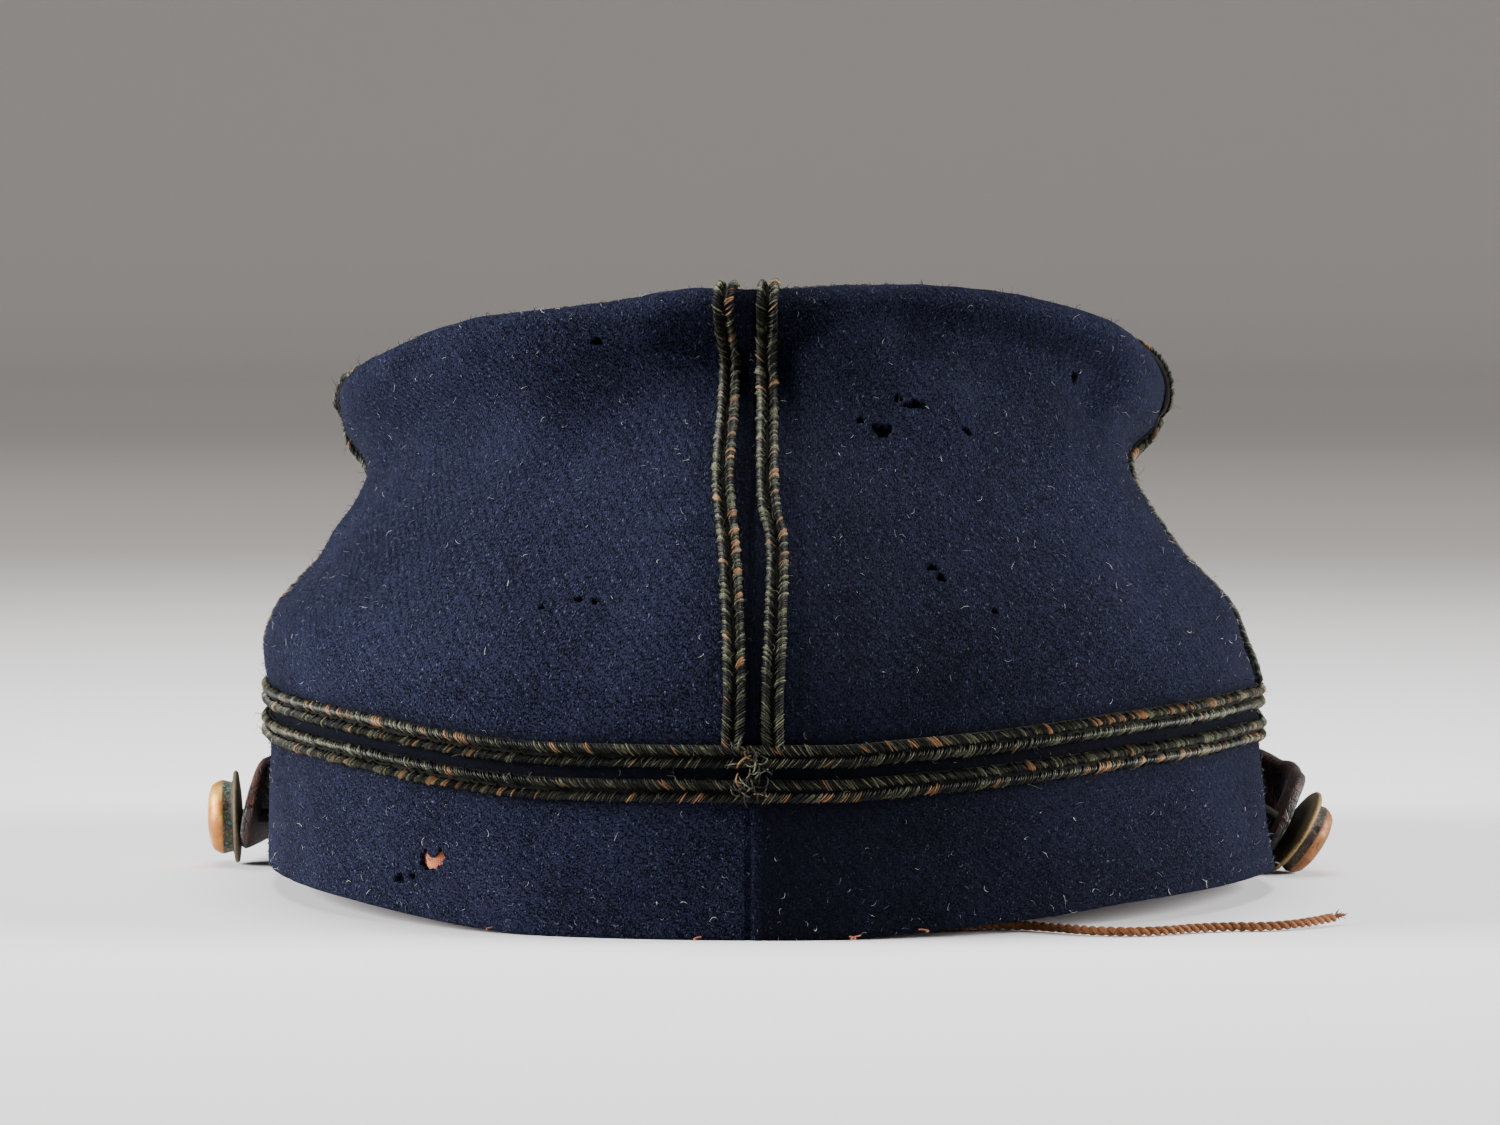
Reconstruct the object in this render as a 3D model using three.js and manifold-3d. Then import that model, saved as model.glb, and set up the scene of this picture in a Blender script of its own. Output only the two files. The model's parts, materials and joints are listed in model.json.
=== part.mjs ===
// A kepi: a soft cap of dark blue wool with a low band, a crown that leans forward to a small round
// tip, rows of flat two-rib braid, a leather peak and chin strap, and two brass side buttons.
// Millimetres, +Z up. The cap stands on its band and its peak, the peak points to -Y, and +X is the
// wearer's left.
import * as THREE from "three";
import { mergeVertices } from "three/addons/utils/BufferGeometryUtils.js";
import Module from "manifold-3d";

const wasm = await Module();
wasm.setup();

// Sizes of the whole cap
const HEAD_LENGTH = 190; // outside of the band, back to front
const HEAD_WIDTH = 159; // outside of the band, side to side
const HEAD_SQUARENESS = 2.25; // exponent of the band's oval; 2 is an ellipse
const BAND_HEIGHT = 27;
const TIP_LENGTH = 124; // the tip's outline, back to front
const TIP_WIDTH = 136; // the tip's outline, side to side
const TIP_SQUARENESS = 2.15;
const TIP_FORWARD = 20; // the tip's centre lies this far ahead of the band's
const TIP_ASIDE = 2.6; // and this far to the wearer's left, because the cloth has slumped
const TIP_REAR_HEIGHT = 92.3; // where the crown starts to roll over, at the back
const TIP_FRONT_HEIGHT = 62;
const TIP_SAG = 2.6; // largest rise or fall of the tip's edge from its plane
const ROLL_RADIUS = 3.6; // the crown's turn from its side into its top
const LIP = 5; // flat cloth from the roll to the seam of the tip
const TIP_SINK = 3.5; // how far the middle of the tip has sunk
const RIM_LIFT = 7.5; // how far the front of the band stands off the surface, on the peak
const RIM_FLARE = 4; // largest outward curl of the band's lower edge
const FOLD_DEPTH = 4;
const FOLD_WIDTH = 9;

// Walls and trimmings
const CLOTH = 1.8;
const EDGE_ROUNDING = 0.35; // share of a wall that its rounded edge draws in
const TIP_CLOTH = 1.6;
const LINING = 0.8;
const LINING_DROP = 1; // the lining ends this far above the rim
const LINING_HEIGHT = 23;
const LINING_FLAT = 0.2; // share of BAND_HEIGHT under which lining and peak don't follow the curl
const SEAM_WIDTH = 1;
const SEAM_DEPTH = 0.7;
const BRAID_WIDTH = 3.7;
const BRAID_THICKNESS = 1.7;
const BRAID_GAP = 1.5; // between the two rows round the band
const PAIR_SPACING = 6; // between the middles of the two upright rows of a pair
const PEAK_REACH = 43;
const PEAK_LEATHER = 2.2;
const PEAK_MARGIN = 3; // the strip of peak that is sewn under the rim
const PEAK_SPAN = 75; // degrees to each side of the front
const PEAK_BOW = 1.6; // upward bulge of the peak between its two edges
const PEAK_SPREAD = 0.5; // how far the peak widens sideways, as a share of its reach forward
const STRAP_WIDTH = 15.5;
const STRAP_LEATHER = 1.6;
const STRAP_STANDOFF = 8; // how far the loose end on the right stands off the band
const BUTTON_CAP_WIDTH = 12.2;
const BUTTON_CAP_DEPTH = 4.2;
const BUTTON_FLANGE_WIDTH = 15.2;
const BUTTON_FLANGE_DEPTH = 2;
const BUTTON_STANDOFF = 8; // the flange from the band, with the strap between
const SHANK_WIDTH = 2.4;
const SHANK_LENGTH = 10;
const CORD_WIDTH = 1.5;
const FIT = 0.3; // clearance between neighbouring pieces
const NAP = 0.65; // the crown's braid stands this far off the cloth

// Steps of the faceted surfaces
const TURN_STEPS = 60;
const TURN_STEP = 360 / TURN_STEPS; // degrees
const ROLL_LEVELS = [1.5, 2, 3]; // level 1 is the start of the roll, 2 its top and 3 the seam of the tip

// The rim round the head. turn is in degrees from the rear seam towards the wearer's left, lift is a
// share of RIM_LIFT, and flare is a share of RIM_FLARE.
const RIM = [
  { turn: 0, lift: 0, flare: 0 },
  { turn: 25, lift: 0.02, flare: 0 },
  { turn: 50, lift: 0.4, flare: 0.05 },
  { turn: 75, lift: 0.5, flare: 0.1 },
  { turn: 90, lift: 0.5, flare: 0.15 },
  { turn: 105, lift: 0.46, flare: 0.05 },
  { turn: 140, lift: 0.82, flare: 0 },
  { turn: 180, lift: 1, flare: 0 },
  { turn: 220, lift: 0.82, flare: 0 },
  { turn: 250, lift: 0.45, flare: 0 },
  { turn: 265, lift: 0.35, flare: 0 },
  { turn: 272, lift: 0.33, flare: 0.25 },
  { turn: 282, lift: 0.42, flare: 0.9 },
  { turn: 292, lift: 0.52, flare: 0.8 },
  { turn: 315, lift: 0.46, flare: 0.2 },
  { turn: 328, lift: 0.3, flare: 0.05 },
  { turn: 335, lift: 0.2, flare: 0 },
  { turn: 343, lift: 0.1, flare: 0 },
  { turn: 350, lift: 0, flare: 0 },
];

// The crown's side. rise is the share of its height, and the other columns are the share of the way
// from the band's outline to the tip's outline that the cloth has come on each side.
const CROWN = [
  { rise: 0, rear: 0, left: 0, right: 0, front: 0 },
  { rise: 0.08, rear: 0.01, left: -0.12, right: 0.04, front: -0.1 },
  { rise: 0.17, rear: 0.05, left: -0.16, right: 0.16, front: -0.05 },
  { rise: 0.28, rear: 0.15, left: 0.04, right: 0.31, front: 0.15 },
  { rise: 0.37, rear: 0.26, left: 0.41, right: 0.58, front: 0.4 },
  { rise: 0.45, rear: 0.38, left: 0.76, right: 0.85, front: 0.65 },
  { rise: 0.55, rear: 0.53, left: 1.05, right: 1.08, front: 0.95 },
  { rise: 0.65, rear: 0.69, left: 1.4, right: 1.3, front: 1.25 },
  { rise: 0.74, rear: 0.84, left: 1.58, right: 1.42, front: 1.4 },
  { rise: 0.82, rear: 0.95, left: 1.45, right: 1.42, front: 1.3 },
  { rise: 0.91, rear: 1.02, left: 1.1, right: 1.15, front: 1.1 },
  { rise: 1, rear: 1, left: 1, right: 1, front: 1 },
];

// How the tip's edge rises and falls from a plane, as a share of TIP_SAG.
const TIP_EDGE = [
  { turn: 0, rise: 0.35 },
  { turn: 10, rise: 0.35 },
  { turn: 22, rise: -0.15 },
  { turn: 45, rise: -0.35 },
  { turn: 65, rise: -0.85 },
  { turn: 90, rise: -0.65 },
  { turn: 150, rise: 0.1 },
  { turn: 180, rise: 0 },
  { turn: 215, rise: 0.1 },
  { turn: 270, rise: 0.05 },
  { turn: 305, rise: 0.95 },
  { turn: 320, rise: 1.05 },
  { turn: 340, rise: 0.9 },
];

// Folds and dents of the crown, each along a line on its side. turns are degrees, width is a share of
// FOLD_WIDTH and depth of FOLD_DEPTH, positive outwards.
const FOLDS = [
  { fromTurn: -12, fromRise: 0.9, toTurn: -27, toRise: 0.78, width: 0.8, depth: 0.75 },
  { fromTurn: -27, fromRise: 0.78, toTurn: -48, toRise: 0.73, width: 0.9, depth: 0.5 },
  { fromTurn: -22, fromRise: 0.96, toTurn: -60, toRise: 0.87, width: 0.8, depth: -0.85 },
  { fromTurn: -5, fromRise: 0.76, toTurn: -18, toRise: 0.66, width: 0.9, depth: -0.8 },
  { fromTurn: 5, fromRise: 0.84, toTurn: 24, toRise: 0.74, width: 1, depth: -0.95 },
  { fromTurn: 16, fromRise: 0.95, toTurn: 46, toRise: 0.91, width: 1, depth: 0.4 },
  { fromTurn: 40, fromRise: 0.8, toTurn: 66, toRise: 0.78, width: 0.9, depth: -0.5 },
  { fromTurn: 24, fromRise: 0.2, toTurn: 68, toRise: 0.2, width: 0.8, depth: 0.25 },
  { fromTurn: -60, fromRise: 0.6, toTurn: -74, toRise: 0.3, width: 1.2, depth: 0.3 },
  { fromTurn: 130, fromRise: 0.5, toTurn: 160, toRise: 0.62, width: 1.3, depth: -0.4 },
  { fromTurn: 200, fromRise: 0.6, toTurn: 232, toRise: 0.5, width: 1.3, depth: -0.45 },
];

// Where the tip's braid lies, as a share of LIP above the start of the roll.
const TIP_BRAID = [
  { turn: 0, place: 1.55 },
  { turn: 40, place: 1.55 },
  { turn: 68, place: 1.45 },
  { turn: 80, place: 1 },
  { turn: 92, place: 0.25 },
  { turn: 110, place: 0.3 },
  { turn: 180, place: 0.8 },
  { turn: 250, place: 0.25 },
  { turn: 272, place: 0.15 },
  { turn: 284, place: 0.9 },
  { turn: 296, place: 1.45 },
  { turn: 320, place: 1.55 },
];

// The upright rows of braid: foot and head are the turns of a pair's middle at its two ends, and wander
// is the share that it takes of the sideways drift in WANDER. WANDER gives that drift at shares of a
// row's length, as a share of BRAID_WIDTH.
const UPRIGHT_PAIRS = [
  { name: "rear", foot: 0, head: 0, first: "left", second: "right", wander: 1 },
  { name: "left", foot: 94, head: 103, first: "front", second: "rear", wander: 0.3 },
  { name: "front", foot: 180, head: 180, first: "right", second: "left", wander: 0 },
  { name: "right", foot: 270, head: 259, first: "rear", second: "front", wander: 0.3 },
];
const WANDER = [
  { along: 0, first: -0.16, second: -0.19 },
  { along: 0.05, first: -0.24, second: -0.16 },
  { along: 0.15, first: -0.13, second: -0.24 },
  { along: 0.24, first: 0.15, second: -0.2 },
  { along: 0.28, first: 0.35, second: 0.15 },
  { along: 0.32, first: 0.49, second: 0.28 },
  { along: 0.43, first: 0.41, second: 0.41 },
  { along: 0.55, first: 0.65, second: 0.43 },
  { along: 1, first: 0.5, second: 0.35 },
];

// The chin strap's middle line, from its left end round the front to its right end. out is a share of
// STRAP_STANDOFF off the band, up is a share of BAND_HEIGHT above the rim, and lean is how many degrees
// the lower edge swings outwards.
const STRAP = [
  { turn: 93, out: 0.6, up: 0.25, lean: 13 },
  { turn: 105, out: 0.6, up: 0.26, lean: 13 },
  { turn: 112, out: 0.52, up: 0.3, lean: 11 },
  { turn: 120, out: 0.36, up: 0.34, lean: 7 },
  { turn: 132, out: 0.2, up: 0.35, lean: 2 },
  { turn: 145, out: 0.18, up: 0.34, lean: 0 },
  { turn: 180, out: 0.18, up: 0.34, lean: 0 },
  { turn: 215, out: 0.18, up: 0.34, lean: 0 },
  { turn: 240, out: 0.2, up: 0.34, lean: 0 },
  { turn: 248, out: 0.45, up: 0.3, lean: 4 },
  { turn: 254, out: 0.88, up: 0.26, lean: 10 },
  { turn: 257.5, out: 0.98, up: 0.24, lean: 8 },
  { turn: 260.5, out: 0.76, up: 0.25, lean: -16 },
  { turn: 263.5, out: 0.6, up: 0.25, lean: -27 },
  { turn: 267, out: 0.58, up: 0.25, lean: -28 },
  { turn: 271, out: 0.56, up: 0.25, lean: -24 },
];

// The buttons: the middle of each flange's back and the way it faces. out is a share of BUTTON_STANDOFF
// off the band and up a share of BAND_HEIGHT above the rim.
const BUTTONS = [
  { name: "button_left", turn: 98.5, out: 1.05, up: 0.165, facing: [1, 0.08, -0.02] },
  { name: "button_right", turn: 267, out: 0.7, up: 0.185, facing: [-0.83, -0.13, -0.545] },
];

// The loose end of the lining's drawstring, by hand, from under the lining out over the surface. side
// and back are shares of half the HEAD_WIDTH and HEAD_LENGTH, and up is a share of CORD_WIDTH.
const CORD = [
  { side: -0.365, back: 0.893, up: 0.8 },
  { side: -0.415, back: 0.866, up: 0.67 },
  { side: -0.472, back: 0.849, up: 0.57 },
  { side: -0.528, back: 0.853, up: 0.53 },
  { side: -0.591, back: 0.885, up: 0.53 },
  { side: -0.654, back: 0.92, up: 0.53 },
  { side: -0.717, back: 0.932, up: 0.53 },
  { side: -0.78, back: 0.915, up: 0.53 },
  { side: -0.843, back: 0.878, up: 0.53 },
  { side: -0.906, back: 0.856, up: 0.53 },
  { side: -0.969, back: 0.852, up: 0.53 },
  { side: -1.025, back: 0.832, up: 0.6 },
  { side: -1.075, back: 0.796, up: 0.73 },
  { side: -1.111, back: 0.764, up: 0.87 },
];

const radians = THREE.MathUtils.degToRad;
const lerp = THREE.MathUtils.lerp;

// Helpers for tables

// A smooth value from rows that give key at places, between the rows before and after.
function fromTable(rows, key, value, place) {
  let i = rows.findIndex((row) => row[key] > place);
  if (i < 0) i = rows.length - 1;
  i = Math.max(i, 1);
  const [a, b] = [rows[i - 1], rows[i]];
  const before = rows[i - 2] ?? a;
  const after = rows[i + 1] ?? b;
  const span = b[key] - a[key];
  const t = THREE.MathUtils.clamp((place - a[key]) / span, 0, 1);
  const slope = (p, q) => ((q[value] - p[value]) / (q[key] - p[key] || span)) * span;
  const [m0, m1] = [slope(before, b), slope(a, after)];
  const [t2, t3] = [t * t, t * t * t];
  const ends = a[value] * (2 * t3 - 3 * t2 + 1) + b[value] * (3 * t2 - 2 * t3);
  return ends + m0 * (t3 - 2 * t2 + t) + m1 * (t3 - t2);
}

// The same for a table that goes round the head.
function roundTable(rows, value, turn) {
  const whole = 360;
  const place = ((turn % whole) + whole) % whole;
  const tail = rows.slice(-2).map((row) => ({ ...row, turn: row.turn - whole }));
  const head = rows.slice(0, 2).map((row) => ({ ...row, turn: row.turn + whole }));
  return fromTable([...tail, ...rows, ...head], "turn", value, place);
}

// A value that passes through its rear, side and front values. back runs from 1 at the rear to -1 at
// the front.
function through(rear, side, front, back) {
  return side + (back * (rear - front)) / 2 + back * back * ((rear + front) / 2 - side);
}

// The unit oval: how far to the wearer's left and how far back a turn lies.
function oval(turn, squareness) {
  const [s, c] = [Math.sin(radians(turn)), Math.cos(radians(turn))];
  const r = (Math.abs(s) ** squareness + Math.abs(c) ** squareness) ** (-1 / squareness);
  return { side: r * s, back: r * c };
}

// Surfaces of the cap

const rimHeight = (turn) => RIM_LIFT * Math.max(roundTable(RIM, "lift", turn), 0);

// The outer face of the band at a height above the rim.
function bandPoint(turn, height) {
  const { side, back } = oval(turn, HEAD_SQUARENESS);
  const share = height / BAND_HEIGHT;
  const flare = RIM_FLARE * roundTable(RIM, "flare", turn) * Math.max(1 - share, 0) ** 1.5;
  const x = side * (HEAD_WIDTH / 2 + flare);
  const y = back * (HEAD_LENGTH / 2 + flare);
  return new THREE.Vector3(x, y, rimHeight(turn) + height);
}

// The level way out of the band's outer face.
function bandNormal(turn, height) {
  return frameOn(bandPoint, turn, height, 0.5).normal.setZ(0).normalize();
}

// Height of the line where the crown starts to roll over into its top.
function edgeHeight(turn, back) {
  const plane = lerp(TIP_FRONT_HEIGHT, TIP_REAR_HEIGHT, (1 + back) / 2);
  return plane + TIP_SAG * roundTable(TIP_EDGE, "rise", turn);
}

// How far the folds push the crown's side out at a place.
function foldPush(turn, rise) {
  const mmPerTurn = (Math.PI * (HEAD_LENGTH + HEAD_WIDTH)) / 2 / 360;
  const mmPerRise = TIP_REAR_HEIGHT - BAND_HEIGHT;
  const place = (t, r) => new THREE.Vector2(t * mmPerTurn, r * mmPerRise);
  let push = 0;
  for (const fold of FOLDS) {
    const middle = (fold.fromTurn + fold.toTurn) / 2;
    const near = middle + ((((turn - middle) % 360) + 540) % 360) - 180;
    const [p, a] = [place(near, rise), place(fold.fromTurn, fold.fromRise)];
    const line = place(fold.toTurn, fold.toRise).sub(a);
    const t = THREE.MathUtils.clamp(p.clone().sub(a).dot(line) / line.lengthSq(), 0, 1);
    const away = p.distanceTo(a.addScaledVector(line, t)) / (fold.width * FOLD_WIDTH);
    push += fold.depth * Math.exp(-away * away);
  }
  return FOLD_DEPTH * push;
}

// The outer face of the crown's side, from the band's seam at rise 0 to the start of the roll at rise 1.
function sidePoint(turn, rise) {
  const head = oval(turn, HEAD_SQUARENESS);
  const top = oval(turn, TIP_SQUARENESS);
  const [side, back] = [lerp(head.side, top.side, rise), lerp(head.back, top.back, rise)];
  const share = (column) => fromTable(CROWN, "rise", column, rise);
  const push = foldPush(turn, rise) * Math.min(1, 8 * rise, 12 * (1 - rise));
  const left = lerp(HEAD_WIDTH / 2, TIP_WIDTH / 2 + TIP_ASIDE, share("left")) + push;
  const right = lerp(HEAD_WIDTH / 2, TIP_WIDTH / 2 - TIP_ASIDE, share("right")) + push;
  const rear = lerp(HEAD_LENGTH / 2, TIP_LENGTH / 2 - TIP_FORWARD, share("rear")) + push;
  const front = lerp(HEAD_LENGTH / 2, TIP_LENGTH / 2 + TIP_FORWARD, share("front")) + push;
  const middle = -TIP_FORWARD * rise;
  const seam = rimHeight(turn) + BAND_HEIGHT + FIT;
  return new THREE.Vector3(
    (side * (left + right)) / 2 + (side * side * (left - right)) / 2,
    through(rear, middle, -front, back),
    lerp(seam, edgeHeight(turn, top.back), rise),
  );
}

const TIP_SLOPE = Math.atan2(TIP_REAR_HEIGHT - TIP_FRONT_HEIGHT, TIP_LENGTH);
const TIP_UP = new THREE.Vector3(0, -Math.sin(TIP_SLOPE), Math.cos(TIP_SLOPE));

// The way out of the tip's outline at a turn, in the tip's own plane.
function tipOutward(turn) {
  const step = 1;
  const along = sidePoint(turn + step, 1).sub(sidePoint(turn - step, 1));
  return TIP_UP.clone().cross(along).normalize();
}

// The crown's outer face above the side: place runs from 0 at the widest line, over the roll at 1, to
// the seam at 2.
function topPoint(turn, place) {
  const outward = tipOutward(turn);
  const angle = (Math.min(place, 1) * Math.PI) / 2;
  const inset = ROLL_RADIUS * (1 - Math.cos(angle)) + LIP * Math.max(place - 1, 0);
  const up = ROLL_RADIUS * Math.sin(angle);
  return sidePoint(turn, 1).addScaledVector(outward, -inset).addScaledVector(TIP_UP, up);
}

// The crown's whole outer face: level 0 to 1 is its side, and 1 to 3 its roll and lip.
const crownPoint = (turn, level) => (level < 1 ? sidePoint(turn, level) : topPoint(turn, level - 1));

// A place on a surface with its outward normal and the two directions along it.
function frameOn(surface, turn, level, levelStep) {
  const point = surface(turn, level);
  const across = surface(turn + 0.5, level).sub(surface(turn - 0.5, level));
  const up = surface(turn, level + levelStep).sub(surface(turn, level - levelStep));
  const normal = across.clone().cross(up).normalize().negate();
  return { point, normal, across, up: up.normalize() };
}

// The crown's levels that carry a row of corners.
const CROWN_LEVELS = [...CROWN.map((row) => row.rise), ...ROLL_LEVELS];

// The crown's outer face as its flat facets have it.
function facetPoint(turn, level) {
  const first = Math.floor(turn / TURN_STEP);
  const found = CROWN_LEVELS.findIndex((value) => value > level);
  const above = found < 0 ? CROWN_LEVELS.length - 1 : Math.max(found, 1);
  const [low, high] = [CROWN_LEVELS[above - 1], CROWN_LEVELS[above]];
  const [across, up] = [turn / TURN_STEP - first, (level - low) / (high - low)];
  const corner = (column, value) => crownPoint((first + column) * TURN_STEP, value);
  const start = corner(0, low);
  const side = up > across ? corner(0, high) : corner(1, low);
  const [more, less] = [Math.max(up, across), Math.min(up, across)];
  const fromSide = corner(1, high).sub(side);
  return start.addScaledVector(side.clone().sub(start), more).addScaledVector(fromSide, less);
}

// Lifts a point along a normal until a flat strip there clears every place given.
function liftClear(point, normal, places) {
  const reach = Math.max(...places.map((place) => place.dot(normal)));
  return point.addScaledVector(normal, Math.max(reach - point.dot(normal), 0));
}

// Solids from sections

// A solid from sections of equal point counts. closed joins the last to the first, and otherwise flat
// ends close it.
function loft(sections, closed) {
  const count = sections[0].length;
  const positions = sections.flat().flatMap((p) => [p.x, p.y, p.z]);
  const faces = [];
  const last = closed ? sections.length : sections.length - 1;
  for (let i = 0; i < last; i++) {
    for (let j = 0; j < count; j++) {
      const next = (i + 1) % sections.length;
      const [a, b] = [i * count + j, i * count + ((j + 1) % count)];
      const [c, d] = [next * count + ((j + 1) % count), next * count + j];
      faces.push(a, b, c, a, c, d);
    }
  }
  if (!closed) {
    for (const [i, flip] of [
      [0, true],
      [sections.length - 1, false],
    ]) {
      for (const [a, b, c] of endTriangles(sections[i])) {
        const corners = flip ? [a, c, b] : [a, b, c];
        faces.push(...corners.map((k) => i * count + k));
      }
    }
  }
  return facingOut(positions, faces);
}

// Triangles of a flat section, found in its own plane.
function endTriangles(section) {
  const middle = section.reduce((sum, p) => sum.add(p), new THREE.Vector3()).divideScalar(section.length);
  const normal = new THREE.Vector3();
  section.forEach((p, i) => {
    const q = section[(i + 1) % section.length];
    normal.add(p.clone().sub(middle).cross(q.clone().sub(middle)));
  });
  const u = section[0].clone().sub(middle).normalize();
  const v = normal.normalize().clone().cross(u);
  const flat = section.map((p) => {
    const from = p.clone().sub(middle);
    return new THREE.Vector2(from.dot(u), from.dot(v));
  });
  return THREE.ShapeUtils.triangulateShape(flat, []);
}

// A geometry whose faces point outwards, whichever way its sections ran.
function facingOut(positions, faces) {
  const corner = (k) => new THREE.Vector3().fromArray(positions, 3 * k);
  let volume = 0;
  for (let i = 0; i < faces.length; i += 3) {
    volume += corner(faces[i]).dot(corner(faces[i + 1]).cross(corner(faces[i + 2])));
  }
  if (volume < 0) faces.reverse();
  const geometry = new THREE.BufferGeometry();
  geometry.setAttribute("position", new THREE.Float32BufferAttribute(positions, 3));
  geometry.setIndex(faces);
  geometry.computeVertexNormals();
  return geometry;
}

// Turns all round the head, with two more close to each side of a sewn seam at turn 0.
function turnsRound(steps, withSeam) {
  const turns = Array.from({ length: steps }, (_, i) => (i * 360) / steps);
  const half = (SEAM_WIDTH / 2 / (HEAD_LENGTH / 2)) * (180 / Math.PI);
  return withSeam ? [0, half, ...turns.slice(1), 360 - half] : turns;
}

// The seam's groove: how far the cloth dips at a turn.
const seamDip = (turn) => (turn === 0 ? SEAM_DEPTH : 0);

// The cap's pieces

// The band: an upright strip of cloth round the head.
function bandGeometry() {
  const heights = [0, 0.1, 0.55, 1].map((share) => share * BAND_HEIGHT);
  const section = (turn) => {
    const wall = heights.map((height) => bandNormal(turn, height));
    const face = (depth) =>
      heights.map((height, i) => bandPoint(turn, height).addScaledVector(wall[i], -depth));
    const [outer, inner] = [face(seamDip(turn)), face(CLOTH)];
    outer[0].addScaledVector(wall[0], -CLOTH * EDGE_ROUNDING);
    return [...outer, ...inner.reverse()];
  };
  return loft(turnsRound(TURN_STEPS, true).map(section), true);
}

// The lining: a thin strip inside the band.
function liningGeometry() {
  const heights = [0, 0.4, 1].map((share) => LINING_DROP + share * LINING_HEIGHT);
  const section = (turn) => {
    const strip = (depth) =>
      heights.map((height) => {
        const flat = Math.max(height, BAND_HEIGHT * LINING_FLAT);
        const point = bandPoint(turn, flat).setZ(rimHeight(turn) + height);
        return point.addScaledVector(bandNormal(turn, flat), -depth);
      });
    return [...strip(CLOTH + FIT), ...strip(CLOTH + FIT + LINING).reverse()];
  };
  return loft(turnsRound(TURN_STEPS, false).map(section), true);
}

// The crown: its side, its roll and the lip that the tip is sewn to.
function crownGeometry() {
  const section = (turn) => {
    const frames = CROWN_LEVELS.map((level) => frameOn(crownPoint, turn, Math.min(level, 2.95), 0.02));
    frames[0].normal.setZ(0).normalize(); // the seam lies level
    const faces = CROWN_LEVELS.map((level) => crownPoint(turn, level));
    const outer = faces.map((p, i) => p.clone().addScaledVector(frames[i].normal, -seamDip(turn)));
    const inner = faces.map((p, i) => p.clone().addScaledVector(frames[i].normal, -CLOTH));
    return [...outer, ...inner.reverse()];
  };
  return loft(turnsRound(TURN_STEPS, true).map(section), true);
}

// The tip: a round panel inside the lip, sunk towards its middle.
function tipGeometry() {
  const rings = [1, 0.75, 0.4];
  const turns = turnsRound(TURN_STEPS, false);
  const edge = turns.map((turn) => topPoint(turn, 2).addScaledVector(tipOutward(turn), -FIT));
  const centre = edge.reduce((sum, p) => sum.add(p), new THREE.Vector3()).divideScalar(edge.length);
  const face = (depth) =>
    rings.flatMap((ring) =>
      edge.map((p) =>
        centre.clone().lerp(p, ring).addScaledVector(TIP_UP, -depth - TIP_SINK * (1 - ring ** 2)),
      ),
    );
  const poles = [0, TIP_CLOTH].map((depth) => centre.clone().addScaledVector(TIP_UP, -depth - TIP_SINK));
  const points = [...face(0), ...face(TIP_CLOTH), ...poles];
  const [count, side] = [turns.length, turns.length * rings.length];
  const faces = [];
  const strip = (a, b) => {
    for (let i = 0; i < count; i++) {
      const next = (i + 1) % count;
      faces.push(a + i, a + next, b + next, a + i, b + next, b + i);
    }
  };
  rings.slice(1).forEach((_, r) => {
    strip(r * count, (r + 1) * count);
    strip(side + (r + 1) * count, side + r * count);
  });
  strip(side, 0);
  const inner = (rings.length - 1) * count;
  for (let i = 0; i < count; i++) {
    const next = (i + 1) % count;
    faces.push(inner + i, inner + next, 2 * side);
    faces.push(side + inner + next, side + inner + i, 2 * side + 1);
  }
  return facingOut(
    points.flatMap((p) => [p.x, p.y, p.z]),
    faces,
  );
}

// The section of a braid, a flat back and two ribs, as shares of its width and thickness.
const BRAID_PROFILE = [
  [-0.5, 0],
  [-0.3, 1],
  [0, 0.5],
  [0.3, 1],
  [0.5, 0],
];

// The section at a point; sideways is along the cloth, normal off it, and gap the clearance from it.
function braidSection(point, sideways, normal, gap) {
  return BRAID_PROFILE.map(([across, off]) =>
    point
      .clone()
      .addScaledVector(sideways, across * BRAID_WIDTH)
      .addScaledVector(normal, gap + off * BRAID_THICKNESS),
  );
}

// A row of braid round the band. height is that of its middle above the rim.
function bandBraidGeometry(height) {
  const section = (turn) => {
    const wall = (h) => {
      const above = h - BAND_HEIGHT;
      return above < 0 ? bandPoint(turn, h) : facetPoint(turn, above / edgeAbove(turn));
    };
    const normal = bandNormal(turn, BAND_HEIGHT);
    const places = [-0.5, 0, 0.5].map((share) => wall(height + share * BRAID_WIDTH));
    const point = liftClear(bandPoint(turn, height), normal, places);
    return braidSection(point, new THREE.Vector3(0, 0, 1), normal, FIT);
  };
  return loft(turnsRound(TURN_STEPS, false).map(section), true);
}

// Height of the crown's side above the band's seam at a turn.
const edgeAbove = (turn) =>
  edgeHeight(turn, oval(turn, TIP_SQUARENESS).back) - rimHeight(turn) - BAND_HEIGHT - FIT;

// The crown's level at a distance above the start of the roll, or below it where that is negative.
const levelAt = (turn, above) => 1 + above / (above < 0 ? edgeAbove(turn) : LIP);
const tipBraidHeight = (turn) => LIP * roundTable(TIP_BRAID, "place", turn);

const UPPER_ROW = BAND_HEIGHT; // the upper row covers the seam of the band and the crown
const LOWER_ROW = UPPER_ROW - BRAID_WIDTH - BRAID_GAP;

// The row of braid round the tip, bent over the roll.
function tipBraidGeometry() {
  const section = (turn) =>
    [...BRAID_PROFILE, [0, 0]].map(([across, off]) => {
      const level = levelAt(turn, tipBraidHeight(turn) + across * BRAID_WIDTH);
      const { point, normal } = frameOn(crownPoint, turn, level, 0.03);
      return point.addScaledVector(normal, NAP + off * BRAID_THICKNESS);
    });
  return loft(turnsRound(TURN_STEPS, false).map(section), true);
}

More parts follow.
